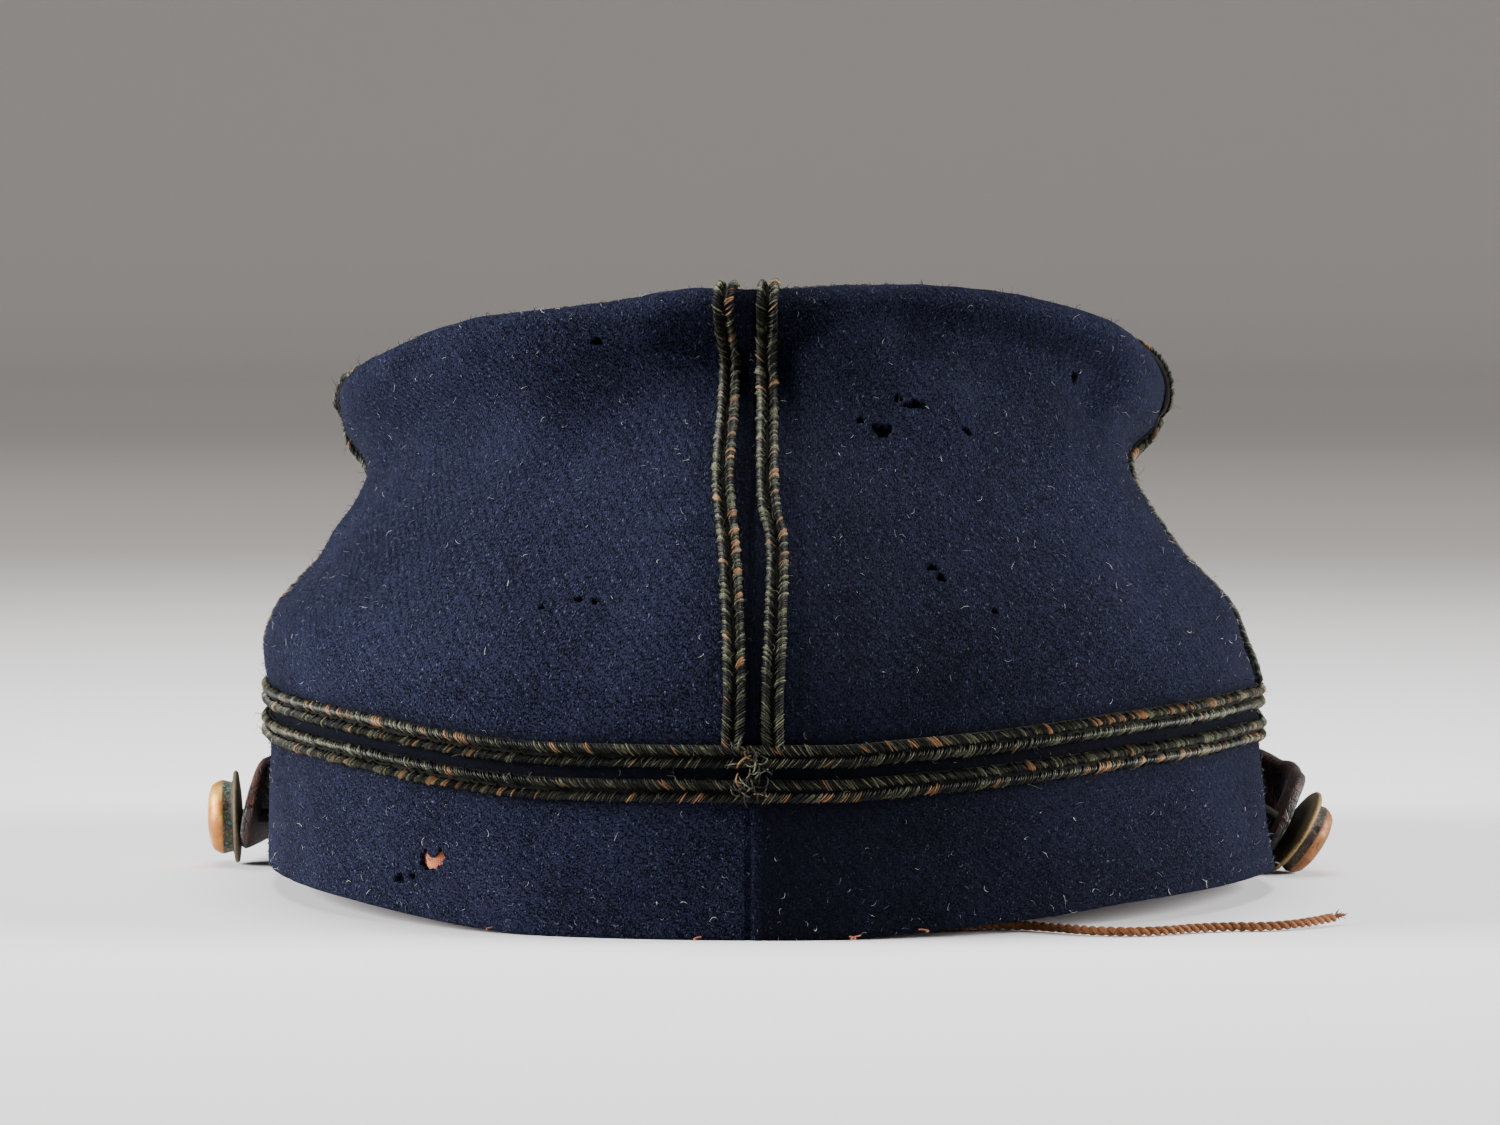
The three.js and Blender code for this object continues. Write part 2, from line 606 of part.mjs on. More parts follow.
// One upright row, from just above the band's upper row to just short of the tip's row.
function uprightGeometry(pair, column, offset) {
  const low = BRAID_WIDTH / 2 / edgeAbove(pair.foot);
  const high = levelAt(pair.head, tipBraidHeight(pair.head) - BRAID_WIDTH / 2 - 2 * FIT);
  const levels = [low, ...CROWN_LEVELS.filter((level) => level > low + 0.02 && level < high - 0.02), high];
  const sections = levels.map((level) => {
    const wander = pair.wander * fromTable(WANDER, "along", column, (level - low) / (high - low));
    const middle = lerp(pair.foot, pair.head, Math.min(level, 1));
    const spacing = frameOn(crownPoint, middle, level, 0.02).across.length();
    const turn = middle + (offset + wander * BRAID_WIDTH) / spacing;
    const { point, normal, across } = frameOn(crownPoint, turn, level, 0.02);
    const half = BRAID_WIDTH / 2 / across.length();
    const places = [-1, -0.5, 0, 0.5, 1].map((share) => facetPoint(turn + share * half, level));
    return braidSection(liftClear(point, normal, places), across.normalize(), normal, NAP);
  });
  return loft(sections, false);
}

// The peak: a crescent of leather sewn under the front of the rim, sloping down to the surface.
function peakGeometry() {
  const steps = 26;
  const places = [0, 0.3, 0.65, 0.94, 1];
  const sections = [];
  for (let i = 0; i <= steps; i++) {
    const aside = lerp(-1, 1, i / steps);
    const turn = 180 + aside * PEAK_SPAN;
    const seam = BAND_HEIGHT * LINING_FLAT;
    const outward = bandNormal(turn, seam);
    const inner = bandPoint(turn, seam).addScaledVector(outward, -PEAK_MARGIN);
    outward.setX(outward.x * PEAK_SPREAD);
    const seat = rimHeight(turn) - FIT;
    const reach = PEAK_REACH * Math.max(1 - aside ** 2, 0.03);
    const share = reach / PEAK_REACH;
    const edge = lerp(seat, PEAK_LEATHER, Math.min(1, share * 1.6));
    const top = (place) => {
      const out = place * (reach + PEAK_MARGIN);
      const past = Math.max(out - PEAK_MARGIN, 0) / reach;
      const bow = PEAK_BOW * share * Math.sin(Math.PI * past);
      const p = inner.clone().addScaledVector(outward, out);
      return p.setZ(lerp(seat, edge, past) + bow);
    };
    const margin = PEAK_MARGIN / (reach + PEAK_MARGIN);
    const stations = [0, ...places.map((place) => lerp(margin, 1, place))];
    const upper = stations.map(top);
    const lower = upper.map((p) => p.clone().setZ(p.z - PEAK_LEATHER));
    const nose = PEAK_LEATHER * EDGE_ROUNDING;
    upper[upper.length - 1].addScaledVector(outward, -nose * share);
    sections.push([...upper, ...lower.reverse()]);
  }
  return loft(sections, false);
}

// The section of the strap, as shares of half its width and of its thickness. Its outer edges are cut
// slanting.
const STRAP_PROFILE = [
  [-1, -0.5],
  [-1, 0.3],
  [-0.85, 0.5],
  [0.85, 0.5],
  [1, 0.3],
  [1, -0.5],
];

// The chin strap: one strip of leather from button to button, round ended.
function strapGeometry() {
  const first = STRAP[0].turn;
  const last = STRAP[STRAP.length - 1].turn;
  const places = [0, 0.004, 0.014, 0.03, 0.05];
  for (let i = 1; i < 24; i++) places.push(lerp(0.05, 0.9, i / 24));
  places.push(0.9, 0.93, 0.955, 0.972, 0.983, 0.991, 0.997, 1);
  const line = places.map((share) => {
    const turn = lerp(first, last, share);
    const row = (column) => fromTable(STRAP, "turn", column, turn);
    const height = row("up") * BAND_HEIGHT;
    const outward = bandNormal(turn, height);
    const point = bandPoint(turn, height).addScaledVector(outward, row("out") * STRAP_STANDOFF);
    return { point, outward, lean: radians(row("lean")) };
  });
  const lengths = [0];
  for (let i = 1; i < line.length; i++) {
    lengths.push(lengths[i - 1] + line[i].point.distanceTo(line[i - 1].point));
  }
  const whole = lengths[lengths.length - 1];
  const sections = line.map(({ point, outward, lean }, i) => {
    const [before, after] = [line[Math.max(i - 1, 0)], line[Math.min(i + 1, line.length - 1)]];
    const along = after.point.clone().sub(before.point);
    const face = new THREE.Vector3(along.y, -along.x, 0).normalize();
    if (face.dot(outward) < 0) face.negate();
    const down = new THREE.Vector3(0, 0, -Math.cos(lean)).addScaledVector(outward, Math.sin(lean));
    face.addScaledVector(down, -face.dot(down)).normalize();
    const half = STRAP_WIDTH / 2;
    const fromEnd = Math.min(lengths[i], whole - lengths[i], half);
    const wide = Math.max(Math.sqrt(half ** 2 - (half - fromEnd) ** 2), half * 0.3);
    return STRAP_PROFILE.map(([across, off]) =>
      point
        .clone()
        .addScaledVector(down, across * wide)
        .addScaledVector(face, off * STRAP_LEATHER),
    );
  });
  return loft(sections, false);
}

// A button: a domed cap on a wider flange with a post behind, turned about +Z.
function buttonGeometry() {
  const [cap, flange, post] = [BUTTON_CAP_WIDTH / 2, BUTTON_FLANGE_WIDTH / 2, SHANK_WIDTH / 2];
  const front = BUTTON_FLANGE_DEPTH;
  const profile = [
    [0, -SHANK_LENGTH],
    [post, -SHANK_LENGTH],
    [post, 0],
    [flange * 0.55, front * 0.15],
    [flange, front * 0.75],
    [flange * 0.95, front],
    [cap * 0.95, front],
    [cap, front + BUTTON_CAP_DEPTH * 0.4],
    [cap * 0.86, front + BUTTON_CAP_DEPTH * 0.82],
    [cap * 0.5, front + BUTTON_CAP_DEPTH * 0.97],
    [0, front + BUTTON_CAP_DEPTH],
  ].map(([r, z]) => new THREE.Vector2(r, z));
  const geometry = new THREE.LatheGeometry(profile, 20);
  return geometry.rotateX(Math.PI / 2);
}

// Where a button's flange meets its post, and its turn from +Z.
function buttonSeat(button) {
  const height = BAND_HEIGHT * button.up;
  const point = bandPoint(button.turn, height);
  point.addScaledVector(bandNormal(button.turn, height), button.out * BUTTON_STANDOFF);
  const facing = new THREE.Vector3(...button.facing).normalize();
  const turn = new THREE.Quaternion().setFromUnitVectors(new THREE.Vector3(0, 0, 1), facing);
  return { point, turn };
}

// The drawstring's loose end: an eight-sided cord along its points.
function cordGeometry() {
  const place = ({ side, back, up }) =>
    new THREE.Vector3((side * HEAD_WIDTH) / 2, (back * HEAD_LENGTH) / 2, up * CORD_WIDTH);
  const curve = new THREE.CatmullRomCurve3(CORD.map(place));
  const section = new THREE.Shape();
  section.absarc(0, 0, CORD_WIDTH / 2, 0, 2 * Math.PI, false);
  return new THREE.ExtrudeGeometry(section, { steps: 20, curveSegments: 4, extrudePath: curve });
}

// Cutting

// A closed solid of manifold-3d from a geometry.
function solidOf(geometry) {
  const bare = geometry.clone();
  for (const name of ["normal", "uv"]) bare.deleteAttribute(name);
  const merged = mergeVertices(bare, 1e-3);
  const vertProperties = new Float32Array(merged.attributes.position.array);
  const triVerts = new Uint32Array(merged.index.array);
  return new wasm.Manifold(new wasm.Mesh({ numProp: 3, vertProperties, triVerts }));
}

// The geometry with round holes for the buttons' posts.
function withPostHoles(geometry) {
  const radius = SHANK_WIDTH / 2 + FIT;
  let solid = solidOf(geometry);
  for (const button of BUTTONS) {
    const { point, turn } = buttonSeat(button);
    const hole = new THREE.CylinderGeometry(radius, radius, 2 * SHANK_LENGTH, 12);
    hole.rotateX(Math.PI / 2).applyQuaternion(turn).translate(point.x, point.y, point.z);
    solid = solid.subtract(solidOf(hole));
  }
  const mesh = solid.getMesh();
  const cut = new THREE.BufferGeometry();
  cut.setAttribute("position", new THREE.Float32BufferAttribute(mesh.vertProperties, 3));
  cut.setIndex(new THREE.BufferAttribute(mesh.triVerts, 1));
  cut.computeVertexNormals();
  return cut;
}

// Materials

function finish(color, roughness, metalness = 0) {
  return new THREE.MeshStandardMaterial({ color, roughness, metalness });
}

const WOOL = finish(0x1b2138, 0.95);
const BRAID = finish(0x3a3c30, 0.85);
const LEATHER = finish(0x17140f, 0.5);
const COTTON = finish(0xc8704f, 0.9);
const BRASS = finish(0xb08a4a, 0.45, 1);
const TWINE = finish(0x9a5a38, 0.85);

// Assembly

const kepi = new THREE.Group();

function add(name, geometry, material) {
  const mesh = new THREE.Mesh(geometry, material);
  mesh.name = name;
  kepi.add(mesh);
  return mesh;
}

add("band", withPostHoles(bandGeometry()), WOOL);
add("lining_band", withPostHoles(liningGeometry()), COTTON);
add("crown", crownGeometry(), WOOL);
add("tip", tipGeometry(), WOOL);
add("braid_band_upper", bandBraidGeometry(UPPER_ROW), BRAID);
add("braid_band_lower", bandBraidGeometry(LOWER_ROW), BRAID);
add("braid_tip", tipBraidGeometry(), BRAID);
for (const pair of UPRIGHT_PAIRS) {
  add(`braid_${pair.name}_${pair.first}`, uprightGeometry(pair, "first", PAIR_SPACING / 2), BRAID);
  add(`braid_${pair.name}_${pair.second}`, uprightGeometry(pair, "second", -PAIR_SPACING / 2), BRAID);
}
add("peak", peakGeometry(), LEATHER);
add("chin_strap", withPostHoles(strapGeometry()), LEATHER);
for (const button of BUTTONS) {
  const { point, turn } = buttonSeat(button);
  const mesh = add(button.name, buttonGeometry(), BRASS);
  mesh.position.copy(point);
  mesh.quaternion.copy(turn);
}
const cord = add("drawstring", cordGeometry(), TWINE);

// The origin is under the middle of the cap's own box, on the surface that it stands on.
kepi.updateMatrixWorld(true);
const box = new THREE.Box3();
for (const mesh of kepi.children) if (mesh !== cord) box.expandByObject(mesh, true);
const middle = box.getCenter(new THREE.Vector3());
kepi.position.set(-middle.x, -middle.y, -box.min.z);

export default kepi;
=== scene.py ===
"""A soft dark blue kepi, dressed round its packed model.

Napped and moth-eaten wool, two-rib braid of mohair, cracked black leather, rubbed brass buttons and
the loose end of a twisted cord.
"""

import json
import math

import bmesh
import bpy
import numpy as np
from bpy.props import FloatProperty, FloatVectorProperty
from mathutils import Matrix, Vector

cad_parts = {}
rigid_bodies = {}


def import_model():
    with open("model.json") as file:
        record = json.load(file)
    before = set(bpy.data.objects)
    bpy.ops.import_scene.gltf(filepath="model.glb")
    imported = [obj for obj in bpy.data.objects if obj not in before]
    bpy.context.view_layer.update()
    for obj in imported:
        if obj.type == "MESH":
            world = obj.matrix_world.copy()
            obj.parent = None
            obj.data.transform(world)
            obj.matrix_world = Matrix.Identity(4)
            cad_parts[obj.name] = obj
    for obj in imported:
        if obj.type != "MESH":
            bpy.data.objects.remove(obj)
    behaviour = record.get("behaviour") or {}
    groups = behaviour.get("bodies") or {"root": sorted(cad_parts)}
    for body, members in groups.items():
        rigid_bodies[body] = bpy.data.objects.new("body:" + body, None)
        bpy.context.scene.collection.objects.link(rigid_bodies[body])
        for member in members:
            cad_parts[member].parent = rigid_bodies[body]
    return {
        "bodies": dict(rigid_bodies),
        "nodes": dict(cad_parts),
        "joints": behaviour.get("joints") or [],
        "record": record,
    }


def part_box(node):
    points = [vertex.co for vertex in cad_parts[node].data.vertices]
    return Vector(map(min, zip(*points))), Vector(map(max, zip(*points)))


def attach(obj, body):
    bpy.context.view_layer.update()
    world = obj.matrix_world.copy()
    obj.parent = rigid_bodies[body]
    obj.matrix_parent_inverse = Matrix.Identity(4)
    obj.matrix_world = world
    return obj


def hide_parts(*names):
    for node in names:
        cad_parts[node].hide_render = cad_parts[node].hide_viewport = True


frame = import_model()

bl_info = {
    "name": "Kepi",
    "version": (1, 0, 0),
    "blender": (4, 5, 0),
    "location": "3D View > Sidebar > Kepi",
    "description": "Dresses the packed model of a soft cloth kepi",
    "category": "Object",
}

MM = 0.001
BODY = "root"

# Sizes of the whole cap, as its packed model has them
HEAD_LENGTH = 190 * MM
HEAD_WIDTH = 159 * MM
HEAD_SQUARENESS = 2.25
BAND_HEIGHT = 27 * MM
TIP_LENGTH = 124 * MM
TIP_WIDTH = 136 * MM
TIP_SQUARENESS = 2.15
TIP_FORWARD = 20 * MM
TIP_ASIDE = 2.6 * MM
TIP_REAR_HEIGHT = 92.3 * MM
TIP_FRONT_HEIGHT = 62 * MM
TIP_SAG = 2.6 * MM
TIP_SINK = 3.5 * MM
ROLL_RADIUS = 3.6 * MM
LIP = 5 * MM
RIM_LIFT = 7.5 * MM
RIM_FLARE = 4 * MM
FOLD_DEPTH = 4 * MM
FOLD_WIDTH = 9 * MM
CLOTH = 1.8 * MM
TIP_CLOTH = 1.6 * MM
LINING = 0.8 * MM
LINING_DROP = 1 * MM
LINING_HEIGHT = 23 * MM
BRAID_WIDTH = 3.7 * MM
BRAID_THICKNESS = 1.7 * MM
BRAID_GAP = 1.5 * MM
PAIR_SPACING = 6 * MM
PEAK_REACH = 43 * MM
PEAK_LEATHER = 2.2 * MM
PEAK_MARGIN = 3 * MM
PEAK_SPAN = 75
PEAK_BOW = 1.6 * MM
PEAK_SPREAD = 0.5
STRAP_WIDTH = 15.5 * MM
STRAP_LEATHER = 1.6 * MM
STRAP_STANDOFF = 8 * MM
BUTTON_STANDOFF = 8 * MM
CORD_WIDTH = 1.5 * MM
FIT = 0.3 * MM
PERIMETER = math.pi * (HEAD_LENGTH + HEAD_WIDTH) / 2
CROWN_CLIMB = 55 * MM  # about how far it is up the crown's side, along the cloth

# The middle of the band lies this far from the model's origin.
CENTRE = np.array([0.0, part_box("band")[1].y - HEAD_LENGTH / 2, 0.0])


def columns(names, *rows):
    """A table as one array for each named column."""
    return dict(zip(names.split(), np.array(rows, float).T))


# The rim round the head, with lift as a share of RIM_LIFT and flare of RIM_FLARE
RIM = columns(
    "turn lift flare",
    (0, 0, 0),
    (25, 0.02, 0),
    (50, 0.4, 0.05),
    (75, 0.5, 0.1),
    (90, 0.5, 0.15),
    (105, 0.46, 0.05),
    (140, 0.82, 0),
    (180, 1, 0),
    (220, 0.82, 0),
    (250, 0.45, 0),
    (265, 0.35, 0),
    (272, 0.33, 0.25),
    (282, 0.42, 0.9),
    (292, 0.52, 0.8),
    (315, 0.46, 0.2),
    (328, 0.3, 0.05),
    (335, 0.2, 0),
    (343, 0.1, 0),
    (350, 0, 0),
)

# The crown's side: the share of the way from the band's outline to the tip's, on each side
CROWN = columns(
    "rise rear left right front",
    (0, 0, 0, 0, 0),
    (0.08, 0.01, -0.12, 0.04, -0.1),
    (0.17, 0.05, -0.16, 0.16, -0.05),
    (0.28, 0.15, 0.04, 0.31, 0.15),
    (0.37, 0.26, 0.41, 0.58, 0.4),
    (0.45, 0.38, 0.76, 0.85, 0.65),
    (0.55, 0.53, 1.05, 1.08, 0.95),
    (0.65, 0.69, 1.4, 1.3, 1.25),
    (0.74, 0.84, 1.58, 1.42, 1.4),
    (0.82, 0.95, 1.45, 1.42, 1.3),
    (0.91, 1.02, 1.1, 1.15, 1.1),
    (1, 1, 1, 1, 1),
)

# How the tip's edge rises and falls from a plane, as a share of TIP_SAG
TIP_EDGE = columns(
    "turn rise",
    (0, 0.35),
    (10, 0.35),
    (22, -0.15),
    (45, -0.35),
    (65, -0.85),
    (90, -0.65),
    (150, 0.1),
    (180, 0),
    (215, 0.1),
    (270, 0.05),
    (305, 0.95),
    (320, 1.05),
    (340, 0.9),
)

# Folds and dents of the crown, each from one turn and rise to another, as shares of FOLD_WIDTH and
# FOLD_DEPTH
FOLDS = (
    (-12, 0.9, -27, 0.78, 0.8, 0.75),
    (-27, 0.78, -48, 0.73, 0.9, 0.5),
    (-22, 0.96, -60, 0.87, 0.8, -0.85),
    (-5, 0.76, -18, 0.66, 0.9, -0.8),
    (5, 0.84, 24, 0.74, 1, -0.95),
    (16, 0.95, 46, 0.91, 1, 0.4),
    (40, 0.8, 66, 0.78, 0.9, -0.5),
    (24, 0.2, 68, 0.2, 0.8, 0.25),
    (-60, 0.6, -74, 0.3, 1.2, 0.3),
    (130, 0.5, 160, 0.62, 1.3, -0.4),
    (200, 0.6, 232, 0.5, 1.3, -0.45),
)

# Where the tip's braid lies, as a share of LIP above the start of the roll
TIP_BRAID = columns(
    "turn place",
    (0, 1.55),
    (40, 1.55),
    (68, 1.45),
    (80, 1),
    (92, 0.25),
    (110, 0.3),
    (180, 0.8),
    (250, 0.25),
    (272, 0.15),
    (284, 0.9),
    (296, 1.45),
    (320, 1.55),
)

# Pairs of upright rows: name, turn at the foot, turn at the head, the two rows and their wander
UPRIGHT_PAIRS = (
    ("rear", 0, 0, "left", "right", 1),
    ("left", 94, 103, "front", "rear", 0.3),
    ("front", 180, 180, "right", "left", 0),
    ("right", 270, 259, "rear", "front", 0.3),
)
WANDER = columns(
    "along first second",
    (0, -0.16, -0.19),
    (0.05, -0.24, -0.16),
    (0.15, -0.13, -0.24),
    (0.24, 0.15, -0.2),
    (0.28, 0.35, 0.15),
    (0.32, 0.49, 0.28),
    (0.43, 0.41, 0.41),
    (0.55, 0.65, 0.43),
    (1, 0.5, 0.35),
)

# The chin strap's middle line, with out as a share of STRAP_STANDOFF, up of BAND_HEIGHT and lean in
# degrees
STRAP = columns(
    "turn out up lean",
    (93, 0.6, 0.25, 13),
    (105, 0.6, 0.26, 13),
    (112, 0.52, 0.3, 11),
    (120, 0.36, 0.34, 7),
    (132, 0.2, 0.35, 2),
    (145, 0.18, 0.34, 0),
    (180, 0.18, 0.34, 0),
    (215, 0.18, 0.34, 0),
    (240, 0.2, 0.34, 0),
    (248, 0.45, 0.3, 4),
    (254, 0.88, 0.26, 10),
    (257.5, 0.98, 0.24, 8),
    (260.5, 0.76, 0.25, -16),
    (263.5, 0.6, 0.25, -27),
    (267, 0.58, 0.25, -28),
    (271, 0.56, 0.25, -24),
)

# Buttons: name, turn, out as a share of BUTTON_STANDOFF, up as a share of BAND_HEIGHT, the way it
# faces
BUTTONS = (
    ("button_left", 98.5, 0.87, 0.165, (1, 0.08, -0.02)),
    ("button_right", 267, 0.7, 0.185, (-0.83, -0.13, -0.545)),
)

# The drawstring's route, from under the lining out over the surface. It is measured from the
# band's middle.
CORD_ROUTE = MM * np.array(
    [
        (-29, 84.8, 1.2),
        (-33, 82.3, 1),
        (-37.5, 80.7, 0.85),
        (-42, 81, 0.8),
        (-47, 84.1, 0.8),
        (-52, 87.4, 0.8),
        (-57, 88.5, 0.8),
        (-62, 86.9, 0.8),
        (-67, 83.4, 0.8),
        (-72, 81.3, 0.8),
        (-77, 80.9, 0.8),
        (-81.5, 79, 0.9),
        (-85.5, 75.6, 1.1),
        (-88.3, 72.6, 1.3),
    ]
)

# Moth holes: turn, level or height, width and height
CROWN_HOLES = (
    (21.2, 0.946, 1.6 * MM, 1.1 * MM),
    (-18.8, 0.702, 3 * MM, 2.3 * MM),
    (-22.5, 0.762, 3.6 * MM, 1.4 * MM),
    (-20.2, 0.775, 1.4 * MM, 1 * MM),
    (-15.5, 0.726, 1.2 * MM, 0.9 * MM),
    (-29.8, 0.702, 1.4 * MM, 1.2 * MM),
    (-55.2, 0.878, 1.6 * MM, 1.2 * MM),
    (18, 0.35, 1.3 * MM, 1.1 * MM),
    (20, 0.354, 1.5 * MM, 0.9 * MM),
    (24, 0.335, 0.9 * MM, 0.8 * MM),
    (-22, 0.398, 1.8 * MM, 1.2 * MM),
    (-22.8, 0.374, 1.3 * MM, 1.5 * MM),
    (-28.2, 0.294, 1 * MM, 0.9 * MM),
)
BAND_HOLES = (
    (40.5, 5.1 * MM, 2 * MM, 1.4 * MM),
    (38.6, 5.9 * MM, 1.2 * MM, 0.9 * MM),
)
HOLE_DEPTH = 1 * MM
# The hole in the band that the lining bulges through, round a flap of cloth
TORN_TURN, TORN_HEIGHT = 35.9, 9.3 * MM
TORN_WIDTH, TORN_TALL = 5 * MM, 3.5 * MM
LINING_BULGE = 2 * MM


# Surfaces of the cap


def along(table, key, column, place):
    """A smooth value from a table's column, by a cubic piece between each two rows."""
    keys, values = table[key], table[column]
    i = np.clip(np.searchsorted(keys, place, side="right"), 1, len(keys) - 1)
    before, after = np.maximum(i - 2, 0), np.minimum(i + 1, len(keys) - 1)
    span = keys[i] - keys[i - 1]
    t = np.clip((place - keys[i - 1]) / span, 0, 1)
    m0 = (values[i] - values[before]) / (keys[i] - keys[before]) * span
    m1 = (values[after] - values[i - 1]) / (keys[after] - keys[i - 1]) * span
    ends = values[i - 1] * (2 * t**3 - 3 * t**2 + 1) + values[i] * (3 * t**2 - 2 * t**3)
    return ends + m0 * (t**3 - 2 * t**2 + t) + m1 * (t**3 - t**2)


def all_round(table, column, turn):
    """The same for a table that goes round the head."""
    wrapped = {
        "turn": np.concatenate([table["turn"][-2:] - 360, table["turn"], table["turn"][:2] + 360]),
        column: np.concatenate([table[column][-2:], table[column], table[column][:2]]),
    }
    return along(wrapped, "turn", column, np.mod(turn, 360))


def oval(turn, squareness):
    """The unit oval: how far to the wearer's left and how far back a turn lies."""
    s, c = np.sin(np.radians(turn)), np.cos(np.radians(turn))
    r = (np.abs(s) ** squareness + np.abs(c) ** squareness) ** (-1 / squareness)
    return r * s, r * c


def placed(x, y, z):
    """Points in the model's frame, from places about the middle of the band."""
    return np.stack(np.broadcast_arrays(x, y, z), -1) + CENTRE


def rim_height(turn):
    return RIM_LIFT * np.maximum(all_round(RIM, "lift", turn), 0)


def band_point(turn, height):
    """The outer face of the band at a height above the rim."""
    side, back = oval(turn, HEAD_SQUARENESS)
    near_rim = np.maximum(1 - height / BAND_HEIGHT, 0) ** 1.5
    flare = RIM_FLARE * all_round(RIM, "flare", turn) * near_rim
    return placed(
        side * (HEAD_WIDTH / 2 + flare),
        back * (HEAD_LENGTH / 2 + flare),
        rim_height(turn) + height,
    )


def edge_height(turn, back):
    """Height of the line where the crown starts to roll over into its top."""
    plane = TIP_FRONT_HEIGHT + (TIP_REAR_HEIGHT - TIP_FRONT_HEIGHT) * (1 + back) / 2
    return plane + TIP_SAG * all_round(TIP_EDGE, "rise", turn)


def edge_above(turn):
    """Height of the crown's side above the band's seam."""
    top = edge_height(turn, oval(turn, TIP_SQUARENESS)[1])
    return top - rim_height(turn) - BAND_HEIGHT - FIT


def fold_push(turn, rise):
    """How far the folds push the crown's side out."""
    per_turn = PERIMETER / 360
    per_rise = TIP_REAR_HEIGHT - BAND_HEIGHT
    push = 0
    for from_turn, from_rise, to_turn, to_rise, width, depth in FOLDS:
        middle = (from_turn + to_turn) / 2
        near = middle + np.mod(turn - middle + 180, 360) - 180
        across = np.stack([(near - from_turn) * per_turn, (rise - from_rise) * per_rise], -1)
        line = np.array([(to_turn - from_turn) * per_turn, (to_rise - from_rise) * per_rise])
        t = np.clip(across @ line / (line @ line), 0, 1)
        away = np.linalg.norm(across - t[..., None] * line, axis=-1) / (width * FOLD_WIDTH)
        push = push + depth * np.exp(-(away**2))
    return FOLD_DEPTH * push


def side_point(turn, rise):
    """The crown's side, from the band's seam at rise 0 to the start of the roll at rise 1."""
    turn, rise = np.broadcast_arrays(np.asarray(turn, float), np.asarray(rise, float))
    head, top = oval(turn, HEAD_SQUARENESS), oval(turn, TIP_SQUARENESS)
    side, back = [a + (b - a) * rise for a, b in zip(head, top)]
    push = fold_push(turn, rise) * np.clip(np.minimum(8 * rise, 12 * (1 - rise)), 0, 1)

    def reach(head_half, tip_half, column):
        return head_half + (tip_half - head_half) * along(CROWN, "rise", column, rise) + push

    left = reach(HEAD_WIDTH / 2, TIP_WIDTH / 2 + TIP_ASIDE, "left")
    right = reach(HEAD_WIDTH / 2, TIP_WIDTH / 2 - TIP_ASIDE, "right")
    rear = reach(HEAD_LENGTH / 2, TIP_LENGTH / 2 - TIP_FORWARD, "rear")
    front = -reach(HEAD_LENGTH / 2, TIP_LENGTH / 2 + TIP_FORWARD, "front")
    middle = -TIP_FORWARD * rise
    seam = rim_height(turn) + BAND_HEIGHT + FIT
    return placed(
        side * (left + right) / 2 + side**2 * (left - right) / 2,
        middle + back * (rear - front) / 2 + back**2 * ((rear + front) / 2 - middle),
        seam + (edge_height(turn, top[1]) - seam) * rise,
    )


TIP_SLOPE = math.atan2(TIP_REAR_HEIGHT - TIP_FRONT_HEIGHT, TIP_LENGTH)
TIP_UP = np.array([0, -math.sin(TIP_SLOPE), math.cos(TIP_SLOPE)])


def unit(v):
    return v / np.maximum(np.linalg.norm(v, axis=-1, keepdims=True), 1e-12)


def tip_outward(turn):
    """The way out of the tip's outline, in the tip's own plane."""
    return unit(np.cross(TIP_UP, side_point(turn + 1, 1) - side_point(turn - 1, 1)))


def crown_point(turn, level):
    """The crown's outer face: levels 0 to 1 are its side, to 2 its roll and to 3 the tip's lip."""
    turn, level = np.broadcast_arrays(np.asarray(turn, float), np.asarray(level, float))
    angle = np.clip(level - 1, 0, 1) * math.pi / 2
    inset = ROLL_RADIUS * (1 - np.cos(angle)) + LIP * np.maximum(level - 2, 0)
    rolled = TIP_UP * (ROLL_RADIUS * np.sin(angle))[..., None]
    rolled = rolled - tip_outward(turn) * inset[..., None]
    return side_point(turn, np.minimum(level, 1)) + rolled


def frame_on(surface, turn, level, step):
    """A place on a surface, with its outward normal and the directions round and up it."""
    point = surface(turn, level)
    across = unit(surface(turn + 0.5, level) - surface(turn - 0.5, level))
    up = unit(surface(turn, level + step) - surface(turn, level - step))
    return point, unit(np.cross(up, across)), across, up


def ripple(x, y, size, seed, waves=7):
    """A gentle unevenness between -1 and 1, from a few slanting waves of about one size."""
    rng = np.random.default_rng(seed)
    total = 0
    for angle, phase, scale in rng.random((waves, 3)):
        k = 2 * math.pi / (size * (0.7 + 0.8 * scale))
        way = 2 * math.pi * angle
        total = total + np.sin(k * (x * math.cos(way) + y * math.sin(way)) + 6.3 * phase)
    return total / waves**0.5 / 1.6


def perimeter_place(turn):
    """About how far round the cap a turn lies from the rear seam."""
    near = np.mod(turn + 180, 360) - 180
    return near / 360 * PERIMETER


SEAM_HALF_WIDTH = 0.5 * MM
SEAM_DEPTH = 0.8 * MM
SWELL = 0.22 * MM  # the cloth's unevenness by hand size and by finger size
PUCKER = 0.1 * MM
HAND, FINGER = 34 * MM, 9 * MM


def relief(turn, height, seam=1.0):
    """How far the fine cloth stands off the smooth form, with height along its face."""
    x = perimeter_place(turn)
    lumps = SWELL * ripple(x, height, HAND, 3) + PUCKER * ripple(x, height, FINGER, 5)
    return lumps - seam * SEAM_DEPTH * np.exp(-((x / SEAM_HALF_WIDTH) ** 2))


BAND_STEP = 0.5 * MM
CROWN_STEP = 0.02


def band_face(turn, height):
    """The band's fine outer face."""
    point, normal, _, _ = frame_on(band_point, turn, height, BAND_STEP)
    level = unit(normal * [1, 1, 0])
    return point + level * relief(turn, height)[..., None]


